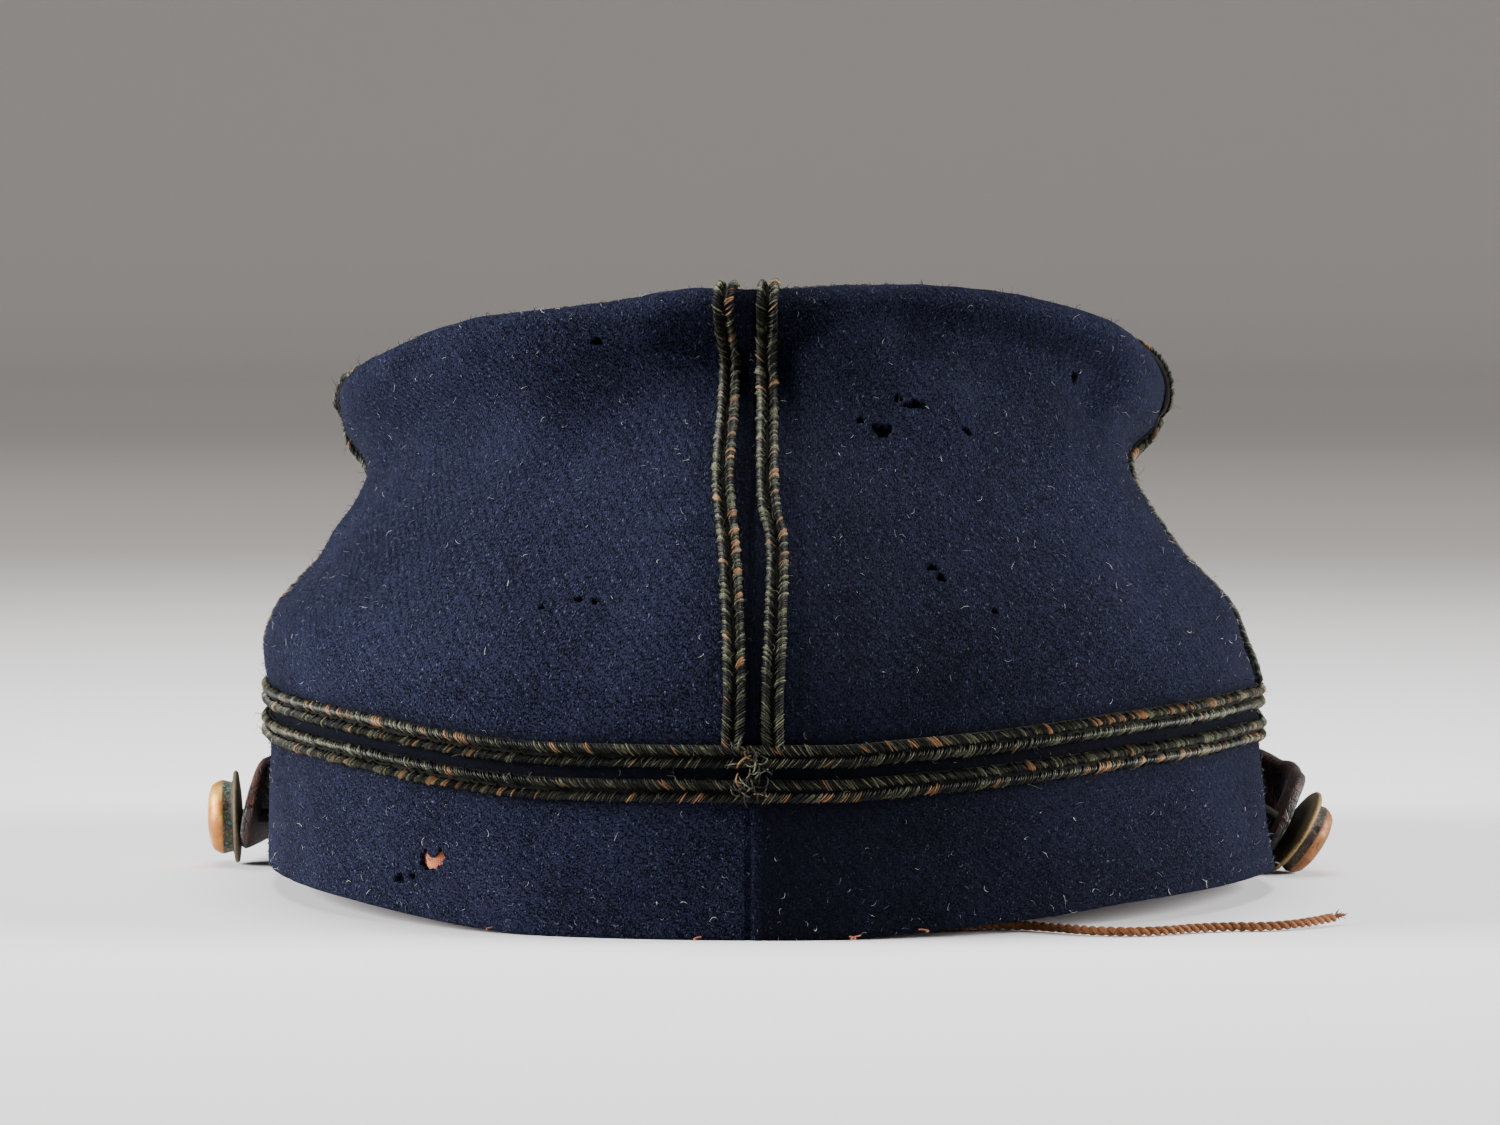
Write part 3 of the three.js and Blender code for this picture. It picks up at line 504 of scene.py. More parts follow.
def crown_face(turn, level):
    """The crown's fine outer face, which grows smooth where it meets the band and the tip."""
    level = np.minimum(level, 3)
    point, normal, _, _ = frame_on(crown_point, turn, level, CROWN_STEP)
    climb = BAND_HEIGHT + np.minimum(level, 1) * edge_above(turn) + np.maximum(level - 1, 0) * LIP
    fade = np.clip(np.minimum(level * 12, (3 - level) * 2), 0, 1)
    pinch = np.clip(np.minimum(level * 12, (2 - level) * 4), 0, 1)
    return point + normal * (fade * relief(turn, climb, pinch))[..., None]


# Meshes


def link(name, mesh):
    piece = bpy.data.objects.new(name, mesh)
    bpy.context.scene.collection.objects.link(piece)
    return piece


def mesh_piece(name, points, faces):
    """A smooth object from points and faces, its place in its mesh."""
    mesh = bpy.data.meshes.new(name)
    mesh.from_pydata(np.asarray(points, float).tolist(), [], [list(map(int, f)) for f in faces])
    mesh.shade_smooth()
    return link(name, mesh)


def grid_faces(rows, count, closed):
    """Quads between rows of points, facing out of a cap whose turns run with the clock."""
    wide = count if closed else count - 1
    r, c = np.meshgrid(np.arange(rows - 1), np.arange(wide), indexing="ij")
    n = (c + 1) % count
    corners = [r * count + c, (r + 1) * count + c, (r + 1) * count + n, r * count + n]
    return np.stack(corners, -1).reshape(-1, 4)


def grid_piece(name, points, across, up, closed=True):
    """A sheet from rows of points, with a UV map in metres round it and up it."""
    rows, count = points.shape[:2]
    faces = grid_faces(rows, count, closed)
    piece = mesh_piece(name, points.reshape(-1, 3), faces)
    layer = piece.data.uv_layers.new(name="UVMap")
    r, c = np.divmod(faces[:, 0], count)
    ends = np.append(across, 2 * across[-1] - across[-2] if not closed else across[0] + PERIMETER)
    u = np.stack([ends[c], ends[c], ends[c + 1], ends[c + 1]], -1)
    v = np.stack([up[r], up[r + 1], up[r + 1], up[r]], -1)
    layer.data.foreach_set("uv", np.stack([u, v], -1).astype(np.float32).ravel())
    return piece


SEAM_TURNS = np.array([-2.2, -1.6, -1.1, -0.75, -0.5, -0.25, 0, 0.25, 0.5, 0.75, 1.1, 1.6, 2.2])


def fine_turns(count):
    """Turns all round the head, close together at the rear seam, from -180 to 180."""
    even = np.linspace(-180, 180, count, endpoint=False)
    return np.sort(np.concatenate([even[np.abs(even) > 2.4], SEAM_TURNS]))


def plain(piece):
    """The piece as a plain mesh, with its modifiers done and taken off."""
    depsgraph = bpy.context.evaluated_depsgraph_get()
    mesh = bpy.data.meshes.new_from_object(
        piece.evaluated_get(depsgraph), preserve_all_data_layers=True, depsgraph=depsgraph
    )
    piece.modifiers.clear()
    piece.data = mesh
    mesh.name = piece.name
    return piece


def thickened(piece, wall):
    """A sheet given its wall on its inside, closed at its edges."""
    solid = piece.modifiers.new("wall", "SOLIDIFY")
    solid.thickness = wall
    solid.offset = -1
    return plain(piece)


def joined(first, *others):
    """Several pieces as one, under the first one's name."""
    for other in others:
        other.select_set(False)
    pieces = [first, *others]
    with bpy.context.temp_override(
        active_object=first, selected_editable_objects=pieces, selected_objects=pieces
    ):
        bpy.ops.object.join()
    return first


def faced_outwards(piece):
    """Turns a closed mesh's faces outwards."""
    bm = bmesh.new()
    bm.from_mesh(piece.data)
    bmesh.ops.remove_doubles(bm, verts=bm.verts, dist=1e-7)
    bmesh.ops.recalc_face_normals(bm, faces=bm.faces)
    bm.to_mesh(piece.data)
    bm.free()
    return piece


def set_number(piece, name, values):
    """A number for each corner point, which a material can read."""
    layer = piece.data.attributes.new(name, "FLOAT", "POINT")
    layer.data.foreach_set("value", np.asarray(values, np.float32))


def set_vector(piece, name, values):
    layer = piece.data.attributes.new(name, "FLOAT_VECTOR", "POINT")
    layer.data.foreach_set("vector", np.asarray(values, np.float32).ravel())


def dressed(piece, material, slot, *nodes):
    """Gives a finished piece its material and the body, and hides the nodes that it stands for; slot
    is not used.
    """
    if material is not None:
        piece.data.materials.clear()
        piece.data.materials.append(material)
    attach(piece, BODY)
    if nodes:
        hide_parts(*nodes)
    return piece


def ring_frames(points, closed=False):
    """For each point of a path, its direction and two directions square to it that don't twist."""
    points = np.asarray(points, float)
    if closed:
        ahead = np.roll(points, -1, 0) - np.roll(points, 1, 0)
    else:
        ahead = np.gradient(points, axis=0)
    tangent = unit(ahead)
    side = np.zeros_like(points)
    start = np.cross(tangent[0], [0, 0, 1.0])
    if np.linalg.norm(start) < 0.1:
        start = np.cross(tangent[0], [1.0, 0, 0])
    side[0] = unit(start)
    for i in range(1, len(points)):
        moved = side[i - 1] - tangent[i] * (side[i - 1] @ tangent[i])
        side[i] = unit(moved)
    return tangent, side, np.cross(tangent, side)


def tube(points, radii, sides, first=0):
    """Points and faces of a closed tube along a path, for a joined mesh."""
    _, side, up = ring_frames(points)
    count = len(points)
    radii = np.broadcast_to(radii, count)
    angle = np.arange(sides) * 2 * math.pi / sides
    ring = side[:, None] * np.cos(angle)[:, None] + up[:, None] * np.sin(angle)[:, None]
    verts = np.asarray(points)[:, None] + ring * radii[:, None, None]
    faces = []
    for i in range(count - 1):
        for j in range(sides):
            k = (j + 1) % sides
            a, b = first + i * sides, first + (i + 1) * sides
            faces.append((a + j, a + k, b + k, b + j))
    faces.append(tuple(first + j for j in reversed(range(sides))))
    faces.append(tuple(first + (count - 1) * sides + j for j in range(sides)))
    return verts.reshape(-1, 3), faces


def tubes(name, paths, radii, sides):
    """Many closed tubes as one mesh."""
    points, faces = [], []
    total = 0
    for path, radius in zip(paths, radii):
        verts, quads = tube(path, radius, sides, total)
        points.append(verts)
        faces += quads
        total += len(verts)
    return mesh_piece(name, np.concatenate(points), faces)


# Node trees


class Wire:
    """A socket's value in a node tree. Arithmetic on it adds Math nodes."""

    def __init__(self, nodes, socket):
        self.nodes = nodes
        self.socket = socket

    def maths(self, operation, *values):
        settings = {"operation": operation}
        return self.nodes.add("ShaderNodeMath", settings, dict(enumerate(values)))

    def __add__(self, other):
        return self.maths("ADD", self, other)

    def __radd__(self, other):
        return self.maths("ADD", other, self)

    def __sub__(self, other):
        return self.maths("SUBTRACT", self, other)

    def __rsub__(self, other):
        return self.maths("SUBTRACT", other, self)

    def __mul__(self, other):
        return self.maths("MULTIPLY", self, other)

    def __rmul__(self, other):
        return self.maths("MULTIPLY", other, self)

    def __truediv__(self, other):
        return self.maths("DIVIDE", self, other)

    def __pow__(self, other):
        return self.maths("POWER", self, other)

    def larger(self, other):
        return self.maths("MAXIMUM", self, other)

    def smaller(self, other):
        return self.maths("MINIMUM", self, other)

    def rise(self, low, high):
        """0 under low and 1 over high, smooth between; falls where low is the higher."""
        settings = {"interpolation_type": "SMOOTHSTEP"}
        if low > high:
            return 1 - self.rise(high, low)
        return self.nodes.add("ShaderNodeMapRange", settings, {0: self, 1: low, 2: high})


class Nodes:
    """Adds nodes to a tree, each by its type, its settings and what its sockets take."""

    def __init__(self, tree):
        self.tree = tree

    def add(self, kind, settings=None, inputs=None, out=0):
        node = self.tree.nodes.new(kind)
        for name, value in (settings or {}).items():
            setattr(node, name, value)
        for key, value in (inputs or {}).items():
            socket = node.inputs[key]
            if isinstance(value, Wire):
                self.tree.links.new(value.socket, socket)
            else:
                socket.default_value = value
        return Wire(self, node.outputs[out]) if len(node.outputs) else None

    def also(self, wire, out):
        """Another output of the node that a wire comes from."""
        return Wire(self, wire.socket.node.outputs[out])

    def vector(self, operation, *values, out=0):
        settings = {"operation": operation}
        return self.add("ShaderNodeVectorMath", settings, dict(enumerate(values)), out)

    def scaled(self, vector, by):
        return self.add("ShaderNodeVectorMath", {"operation": "SCALE"}, {0: vector, "Scale": by})


class Surface(Nodes):
    """A material's nodes, with the patterns that the cap's finishes share. Sizes are in metres."""

    def __init__(self, name, uv=False):
        self.material = bpy.data.materials.new(name)
        self.material.use_nodes = True
        self.material.node_tree.nodes.clear()
        super().__init__(self.material.node_tree)
        where = "UV" if uv else "Object"
        self.place = self.add("ShaderNodeTexCoord", out=where)

    def mapped(self, stretch, turn=0.0, shift=(0, 0, 0)):
        inputs = {"Vector": self.place, "Location": shift, "Rotation": (0, 0, turn)}
        return self.add("ShaderNodeMapping", {}, {**inputs, "Scale": stretch})

    def noise(self, size, detail=2.0, stretch=None, shift=0.0, roughness=0.5):
        """Cloudy values of about one size."""
        place = self.place
        if stretch or shift:
            place = self.mapped(stretch or (1, 1, 1), 0.0, (shift, shift, shift))
        inputs = {"Vector": place, "Scale": 1 / size, "Detail": detail, "Roughness": roughness}
        return self.add("ShaderNodeTexNoise", {}, inputs)

    def cracks(self, size, stretch=None):
        """How far a place is from the nearest crack, between cells of about one size."""
        place = self.mapped(stretch) if stretch else self.place
        inputs = {"Vector": place, "Scale": 1 / size}
        return self.add("ShaderNodeTexVoronoi", {"feature": "DISTANCE_TO_EDGE"}, inputs)

    def number(self, name):
        """A number that the piece carries for each point."""
        settings = {"attribute_name": name, "attribute_type": "GEOMETRY"}
        return self.add("ShaderNodeAttribute", settings, out="Fac")

    def mix(self, factor, a, b, blend="MIX"):
        """From colour a to colour b."""
        a, b = [(*c, 1.0) if isinstance(c, tuple) and len(c) == 3 else c for c in (a, b)]
        settings = {"data_type": "RGBA", "blend_type": blend}
        return self.add("ShaderNodeMix", settings, {0: factor, 6: a, 7: b}, 2)

    def bump(self, height, distance, strength):
        inputs = {"Height": height, "Distance": distance, "Strength": strength}
        return self.add("ShaderNodeBump", {}, inputs)

    def finish(self, **sockets):
        """Ends in a Principled shader that takes these, with _ for a space in a name."""
        inputs = {name.replace("_", " "): value for name, value in sockets.items()}
        shader = self.add("ShaderNodeBsdfPrincipled", {}, inputs)
        self.add("ShaderNodeOutputMaterial", {}, {"Surface": shader})
        return self.material


def linear(code):
    """The linear colour of a screen colour such as "2b3350"."""
    parts = [int(code[i : i + 2], 16) / 255 for i in (0, 2, 4)]
    return tuple(p / 12.92 if p <= 0.04045 else ((p + 0.055) / 1.055) ** 2.4 for p in parts)


# Finishes


def wool():
    """Napped navy wool: a fine grain of short hairs over a faint twill, dusty and with painted shade
    in places.
    """
    look = bpy.context.scene.kepi_wool
    cloth = Surface("napped_wool", uv=True)
    dark, light = tuple(look.shade), tuple(look.colour)
    grain = cloth.noise(0.34 * MM, 3, roughness=0.85)
    nap = cloth.noise(1.1 * MM, 3, stretch=(1.0, 0.7, 1.0), shift=3.1)
    cloud = cloth.noise(16 * MM, 3, shift=7.7)
    slanting = cloth.mapped((1, 1, 1), math.radians(52))
    twill = cloth.add(
        "ShaderNodeTexWave",
        {"wave_type": "BANDS", "bands_direction": "X"},
        {"Vector": slanting, "Scale": 0.25 / MM, "Distortion": 1.5},
        "Fac",
    )
    depth = (grain * 0.85 + nap * 0.15 + cloud * 0.1 + twill * 0.03) / 1.13
    colour = cloth.mix(depth.rise(0.44, 0.58), dark, light)
    fleck = cloth.noise(0.3 * MM, 1, stretch=(1.0, 0.6, 1.0), shift=11.0).rise(0.66, 0.78)
    colour = cloth.mix(fleck * 0.6, colour, tuple(look.fleck))
    dust = cloth.noise(5 * MM, 4, shift=21.0).rise(0.58, 0.8) * grain.rise(0.45, 0.7)
    colour = cloth.mix(dust * 0.12, colour, tuple(look.fleck))
    # Painted shade to the right of the rear seam, where the nap lies the other way.
    colour = cloth.mix(cloth.number("against"), colour, linear("05050a"))
    # Painted shade by the braid rows and in the moth pits.
    colour = cloth.mix(cloth.number("worn"), colour, linear("07080c"))
    relief_height = grain * 0.7 + nap * 0.4 + twill * 0.05
    return cloth.finish(
        Base_Color=colour,
        Roughness=0.95,
        Specular_IOR_Level=0.03,
        Sheen_Weight=look.sheen,
        Sheen_Roughness=0.45,
        Sheen_Tint=(*linear("8f9dc4"), 1),
        Normal=cloth.bump(relief_height, 0.35 * MM, 0.9),
    )


def braid_fibre():
    """Mohair plies: near black to olive, and tan where the number worn is high."""
    look = bpy.context.scene.kepi_braid
    fibre = Surface("mohair")
    ply = fibre.number("ply")
    streak = fibre.number("streak")
    strands = (streak * 12).maths("SINE", streak * 12) * 0.5 + 0.5
    hair = fibre.noise(0.18 * MM, 3, roughness=0.8)
    hollow = fibre.number("hollow")
    age = fibre.noise(9 * MM, 2, shift=2.0)
    colour = fibre.mix((ply + age - 0.5).rise(0.3, 1.0), tuple(look.dark), tuple(look.olive))
    lit = (ply * 0.35 + hair).rise(0.72, 0.95)
    colour = fibre.mix(lit * 0.75, colour, tuple(look.light))
    bleached = fibre.number("worn") * (hair * 1.3 + ply * 0.5 - 0.2).smaller(1.0).larger(0.0)
    colour = fibre.mix(bleached, colour, tuple(look.worn))
    # Painted shade: the core under and between the plies is near black.
    colour = fibre.mix(hollow, colour, linear("050605"))
    return fibre.finish(
        Base_Color=colour,
        Roughness=hollow * 0.5 + 0.48,
        Specular_IOR_Level=0.22,
        Sheen_Weight=0.01,
        Sheen_Roughness=0.4,
        Sheen_Tint=(*linear("9aa48c"), 1),
        Normal=fibre.bump(strands * 0.7 + hair * 0.5, 0.12 * MM, 0.8),
    )


def leather():
    """Old black leather: finely cracked, and bare and red-brown where the number flesh is high."""
    look = bpy.context.scene.kepi_leather
    skin = Surface("old_leather")
    crack = skin.cracks(1.5 * MM, (1, 1, 0.55)).rise(0.09, 0.0)
    fine = skin.cracks(0.55 * MM).rise(0.12, 0.0)
    wear = skin.noise(4 * MM, 4, shift=5.0, roughness=0.65)
    grain = skin.noise(0.35 * MM, 3)
    flesh = skin.number("flesh")
    colour = skin.mix(wear.rise(0.4, 0.7), tuple(look.black), tuple(look.grey))
    bald = (wear + grain * 0.25).rise(0.78, 0.86)
    colour = skin.mix(bald * 0.75, colour, tuple(look.red))
    inside = skin.mix(wear.rise(0.35, 0.75), linear("0f0806"), tuple(look.red))
    colour = skin.mix(flesh, colour, inside)
    colour = skin.mix(crack.larger(fine * 0.5) * (1 - flesh) * 0.8, colour, linear("070605"))
    height = grain * 0.3 - crack * 0.9 - fine * 0.35 + wear * 0.3
    return skin.finish(
        Base_Color=colour,
        Roughness=wear * 0.3 + flesh * 0.3 + 0.32,
        Specular_IOR_Level=0.45,
        Normal=skin.bump(height, 0.16 * MM, 0.9),
    )


def cotton():
    """The salmon lining: a fine plain weave, faded in places."""
    look = bpy.context.scene.kepi_lining
    weave = Surface("salmon_cotton", uv=True)
    thread = 0.35 * MM
    waves = [
        weave.add(
            "ShaderNodeTexWave",
            {"wave_type": "BANDS", "bands_direction": direction},
            {"Vector": weave.place, "Scale": 0.314 / thread, "Distortion": 1.0},
            "Fac",
        )
        for direction in "XY"
    ]
    fade = weave.noise(8 * MM, 4, shift=4.0)
    slub = weave.noise(0.5 * MM, 3)
    colour = weave.mix(fade.rise(0.3, 0.7), tuple(look.shade), tuple(look.colour))
    between_threads = weave.mix(1.0, colour, (0.55, 0.5, 0.5), "MULTIPLY")
    colour = weave.mix((waves[0] * waves[1]).rise(0.0, 0.4) * 0.5, between_threads, colour)
    return weave.finish(
        Base_Color=colour,
        Roughness=0.9,
        Specular_IOR_Level=0.2,
        Sheen_Weight=0.05,
        Normal=weave.bump(waves[0] * 0.5 + waves[1] * 0.5 + slub * 0.4, 0.08 * MM, 0.7),
    )


def brass(name, face, side, flange, rubbed):
    """Worn brass: bare metal on the cap, and brown, black and green crust elsewhere.

    The number zone is 0 on the flange, 1 on the cap's side and 2 on its face. rubbed is how bare the
    edges are."""
    metal = Surface(name)
    zone = metal.number("zone")
    crust = metal.noise(1.6 * MM, 5, roughness=0.7)
    spot = metal.noise(0.5 * MM, 4, shift=3.0, roughness=0.7)
    stain = metal.noise(3.5 * MM, 3, shift=9.0)
    on_face, on_side = zone.rise(1.4, 1.8), zone.rise(0.4, 0.8) * zone.rise(1.8, 1.4)
    face_mix = metal.mix(stain.rise(0.4, 0.62), linear(face[0]), linear(face[1]))
    face_mix = metal.mix(spot.rise(0.56, 0.68) * 0.8, face_mix, linear(face[2]))
    side_mix = metal.mix(crust.rise(0.4, 0.6), linear(side[0]), linear(side[1]))
    side_mix = metal.mix(spot.rise(0.5, 0.62), side_mix, linear(side[2]))
    flange_mix = metal.mix(crust.rise(0.35, 0.65), linear(flange[0]), linear(flange[1]))
    flange_mix = metal.mix(spot.rise(0.6, 0.7) * 0.7, flange_mix, linear(flange[2]))
    colour = metal.mix(on_side, flange_mix, side_mix)
    colour = metal.mix(on_face, colour, face_mix)
    edge = metal.number("edge") * rubbed
    colour = metal.mix(edge * spot.rise(0.75, 0.45), colour, linear("c9a25c"))
    bare = (on_face * 0.75 + edge * 0.9 + on_side * crust.rise(0.5, 0.3) * 0.6).smaller(1.0)
    return metal.finish(
        Base_Color=colour,
        Metallic=bare,
        Roughness=0.62 - bare * 0.24 + spot * 0.15,
        Specular_IOR_Level=0.4,
        Normal=metal.bump(crust * 0.6 + spot * 0.5, 0.14 * MM, 0.8),
    )


def twine():
    """Brown cord of loosely twisted cotton or wool."""
    cord = Surface("twine")
    hair = cord.noise(0.2 * MM, 3, roughness=0.7)
    fade = cord.noise(6 * MM, 2, shift=1.0)
    colour = cord.mix(hair.rise(0.3, 0.7), linear("3d2113"), linear("86532f"))
    colour = cord.mix(fade.rise(0.45, 0.7) * 0.3, colour, linear("9a6a45"))
    return cord.finish(
        Base_Color=colour,
        Roughness=0.85,
        Specular_IOR_Level=0.2,
        Sheen_Weight=0.05,
        Normal=cord.bump(hair, 0.1 * MM, 0.8),
    )


def hairs(name, low, high):
    """Loose fibres, each with its own shade."""
    fibre = Surface(name)
    shade = fibre.number("fibre")
    return fibre.finish(
        Base_Color=fibre.mix(shade ** 1.6, linear(low), linear(high)),
        Roughness=0.7,
        Specular_IOR_Level=0.06,
    )


# Growing what repeats


def tree_with(name, *sockets):
    """A Geometry Nodes tree whose inputs are a mesh and these: name, kind, default."""
    tree = bpy.data.node_groups.new(name, "GeometryNodeTree")
    tree.interface.new_socket("Geometry", in_out="INPUT", socket_type="NodeSocketGeometry")
    for label, kind, default in sockets:
        made = tree.interface.new_socket(label, in_out="INPUT", socket_type="NodeSocket" + kind)
        if default is not None:
            made.default_value = default
    tree.interface.new_socket("Geometry", in_out="OUTPUT", socket_type="NodeSocketGeometry")
    nodes = Nodes(tree)
    entry = tree.nodes.new("NodeGroupInput")
    wires = {socket.name: Wire(nodes, socket) for socket in entry.outputs if socket.name}
    return nodes, wires


def ends_in(nodes, geometry, material):
    """Makes instances real, gives them their material and ends the tree."""
    real = nodes.add("GeometryNodeRealizeInstances", {}, {0: geometry})
    smooth = nodes.add("GeometryNodeSetShadeSmooth", {}, {0: real})
    done = nodes.add("GeometryNodeSetMaterial", {}, {0: smooth, 2: material})
    exit_node = nodes.tree.nodes.new("NodeGroupOutput")
    nodes.tree.links.new(done.socket, exit_node.inputs[0])
    return nodes.tree


def store(nodes, geometry, name, value, kind="FLOAT", domain="INSTANCE"):
    settings = {"data_type": kind, "domain": domain}
    return nodes.add("GeometryNodeStoreNamedAttribute", settings, {0: geometry, 2: name, 3: value})


def chance(nodes, low, high, seed, kind="FLOAT"):
    first, out = {"FLOAT": (2, 1), "FLOAT_VECTOR": (0, 0), "INT": (4, 2)}[kind]
    inputs = {first: low, first + 1: high, 8: seed}
    return nodes.add("FunctionNodeRandomValue", {"data_type": kind}, inputs, out)


def plies_tree():
    """Slanting plies laid one after another along a path, which carries its way out as a vector."""
    nodes, given = tree_with(
        "plies",
        ("Pitch", "Float", 1 * MM),
        ("Slant", "Float", 0.8),
        ("Offset", "Float", 0.0),
        ("Lift", "Float", 0.0),
        ("Size", "Vector", None),
        ("Uneven", "Float", 0.2),
        ("Worn", "Float", 0.0),
        ("Seed", "Int", 1),
        ("Material", "Material", None),
    )
    curve = nodes.add("GeometryNodeMeshToCurve", {}, {0: given["Geometry"]})
    walk = nodes.add("GeometryNodeResampleCurve", {"mode": "LENGTH"}, {0: curve, 3: given["Pitch"]})
    out = nodes.add("GeometryNodeInputNamedAttribute", {"data_type": "FLOAT_VECTOR"}, {0: "out"})
    tangent = nodes.add("GeometryNodeInputTangent")
    across = nodes.vector("NORMALIZE", nodes.vector("CROSS_PRODUCT", out, tangent))
    jitter = chance(nodes, (-1, -1, -1), (1, 1, 1), given["Seed"], "FLOAT_VECTOR")
    drift = nodes.scaled(jitter, given["Uneven"] * given["Pitch"] * 0.5)
    shift = nodes.vector(
        "ADD", nodes.scaled(across, given["Offset"]), nodes.scaled(out, given["Lift"])
    )
    shifted = nodes.add(
        "GeometryNodeSetPosition", {}, {0: walk, 3: nodes.vector("ADD", shift, drift)}
    )
    lean = chance(nodes, -1.0, 1.0, given["Seed"] + 7) * given["Uneven"] * 0.7 + given["Slant"]
    way = nodes.vector(
        "ADD",
        nodes.scaled(tangent, lean.maths("COSINE", lean)),
        nodes.scaled(across, lean.maths("SINE", lean)),
    )
    turned = nodes.add("FunctionNodeAlignRotationToVector", {"axis": "Z"}, {2: way})
    turned = nodes.add(
        "FunctionNodeAlignRotationToVector", {"axis": "X", "pivot_axis": "Z"}, {0: turned, 2: out}
    )
    ball = nodes.add("GeometryNodeMeshUVSphere", {}, {0: 6, 1: 5, 2: 1.0})
    map_out = nodes.also(ball, 1)
    settings = {"data_type": "FLOAT2", "domain": "CORNER"}
    ball = nodes.add(
        "GeometryNodeStoreNamedAttribute", settings, {0: ball, 2: "UVMap", 3: map_out}
    )
    around = nodes.add("ShaderNodeSeparateXYZ", {}, {0: nodes.add("GeometryNodeInputPosition")})
    turn = nodes.also(around, 1).maths("ARCTAN2", nodes.also(around, 1), around) / 6.2832
    ball = store(nodes, ball, "streak", turn + nodes.also(around, 2) * 0.12, domain="POINT")
    drop = nodes.also(around, 2) ** 2.0 * -PLY_BEND
    drop = nodes.add("ShaderNodeCombineXYZ", {}, {0: drop})
    ball = nodes.add("GeometryNodeSetPosition", {}, {0: ball, 3: drop})
    low, high = 1 - given["Uneven"], given["Uneven"] + 1
    share = chance(nodes, low, high, given["Seed"] + 3)
    set_down = nodes.add(
        "GeometryNodeInstanceOnPoints",
        {},
        {0: shifted, 2: ball, 5: turned, 6: nodes.scaled(given["Size"], share)},
    )
    set_down = store(nodes, set_down, "ply", chance(nodes, 0.0, 1.0, given["Seed"] + 11))
    where = nodes.add("GeometryNodeInputPosition")
    clump = nodes.add("ShaderNodeTexNoise", {}, {0: where, 2: 0.6 / MM, 3: 1.0})
    worn = (clump + given["Worn"] * 0.08).rise(0.67, 0.7)
    set_down = store(nodes, set_down, "worn", worn)
    return ends_in(nodes, set_down, given["Material"])


FIBRE_SHAPES = (
    # middle and end of a fibre of length 1 that starts at the root
    ((0.0, 0.25, 0.55), (0.1, -0.15, 1.0)),
    ((0.3, 0.3, 0.4), (-0.2, 0.35, 0.85)),
    ((-0.35, 0.1, 0.6), (0.35, 0.2, 0.8)),
    ((0.5, -0.2, 0.5), (-0.1, 0.6, 0.55)),
)


def fibres_tree():
    """Loose fibres scattered over a skin, more of them where the skin's number linty is high."""
    nodes, given = tree_with(
        "fibres",
        ("Density", "Float", 100000.0),
        ("Length", "Float", 1 * MM),
        ("Thickness", "Float", 0.04 * MM),
        ("Lean", "Float", 1.0),
        ("Spread", "Float", 0.5),
        ("Steps", "Int", 4),
        ("Seed", "Int", 1),
        ("Material", "Material", None),
    )
    linty = nodes.add("GeometryNodeInputNamedAttribute", {"data_type": "FLOAT"}, {0: "linty"})
    scatter = nodes.add(
        "GeometryNodeDistributePointsOnFaces",
        {"distribute_method": "RANDOM"},
        {0: given["Geometry"], 4: given["Density"] * linty, 6: given["Seed"]},
    )
    facing = nodes.also(scatter, 2)
    shapes = nodes.tree.nodes.new("GeometryNodeJoinGeometry")
    taper = 1.0 - nodes.add("GeometryNodeSplineParameter") * 0.7
    profile = nodes.add(
        "GeometryNodeCurvePrimitiveCircle", {}, {0: 3, 4: given["Thickness"] / given["Length"]}
    )
    for middle, end in FIBRE_SHAPES:
        inputs = {0: given["Steps"], 1: (0, 0, 0), 2: middle, 3: end}
        line = nodes.add("GeometryNodeCurveQuadraticBezier", {}, inputs)
        hair = nodes.add("GeometryNodeCurveToMesh", {}, {0: line, 1: profile, 2: taper, 3: True})
        alone = nodes.add("GeometryNodeGeometryToInstance", {}, {0: hair})
        nodes.tree.links.new(alone.socket, shapes.inputs[0])
    spin = nodes.add(
        "FunctionNodeAxisAngleToRotation",
        {},
        {0: (0, 0, 1), 1: chance(nodes, 0.0, 6.28, given["Seed"] + 1)},
    )
    lean = given["Lean"] + chance(nodes, -1.0, 1.0, given["Seed"] + 2) * given["Spread"]
    tilt = nodes.add("FunctionNodeAxisAngleToRotation", {}, {0: (1, 0, 0), 1: lean})
    local = {"rotation_space": "LOCAL"}
    turned = nodes.add("FunctionNodeRotateRotation", local, {0: facing, 1: spin})
    turned = nodes.add("FunctionNodeRotateRotation", local, {0: turned, 1: tilt})
    size = given["Length"] * (chance(nodes, 0.0, 1.0, given["Seed"] + 3) ** 2.0 * 1.2 + 0.5)
    set_down = nodes.add(
        "GeometryNodeInstanceOnPoints",
        {},
        {
            0: scatter,
            2: Wire(nodes, shapes.outputs[0]),
            3: True,
            4: chance(nodes, 0, len(FIBRE_SHAPES) - 1, given["Seed"] + 4, "INT"),
            5: turned,
            6: nodes.add("ShaderNodeCombineXYZ", {}, {0: size, 1: size, 2: size}),
        },
    )
    set_down = store(nodes, set_down, "fibre", chance(nodes, 0.0, 1.0, given["Seed"] + 5))
    return ends_in(nodes, set_down, given["Material"])


def tree_named(name):
    """The Geometry Nodes tree of this name, made on its first use."""
    makers = {"plies": plies_tree, "fibres": fibres_tree}
    return bpy.data.node_groups.get(name) or makers[name]()


def grown(piece, tree_name, **inputs):
    """The piece with a tree run on it, as a plain mesh."""
    tree = tree_named(tree_name)
    grower = piece.modifiers.new(tree_name, "NODES")
    grower.node_group = tree
    sockets = {item.name: item.identifier for item in tree.interface.items_tree}
    for name, value in inputs.items():
        grower[sockets[name]] = value
    return plain(piece)


# Braid


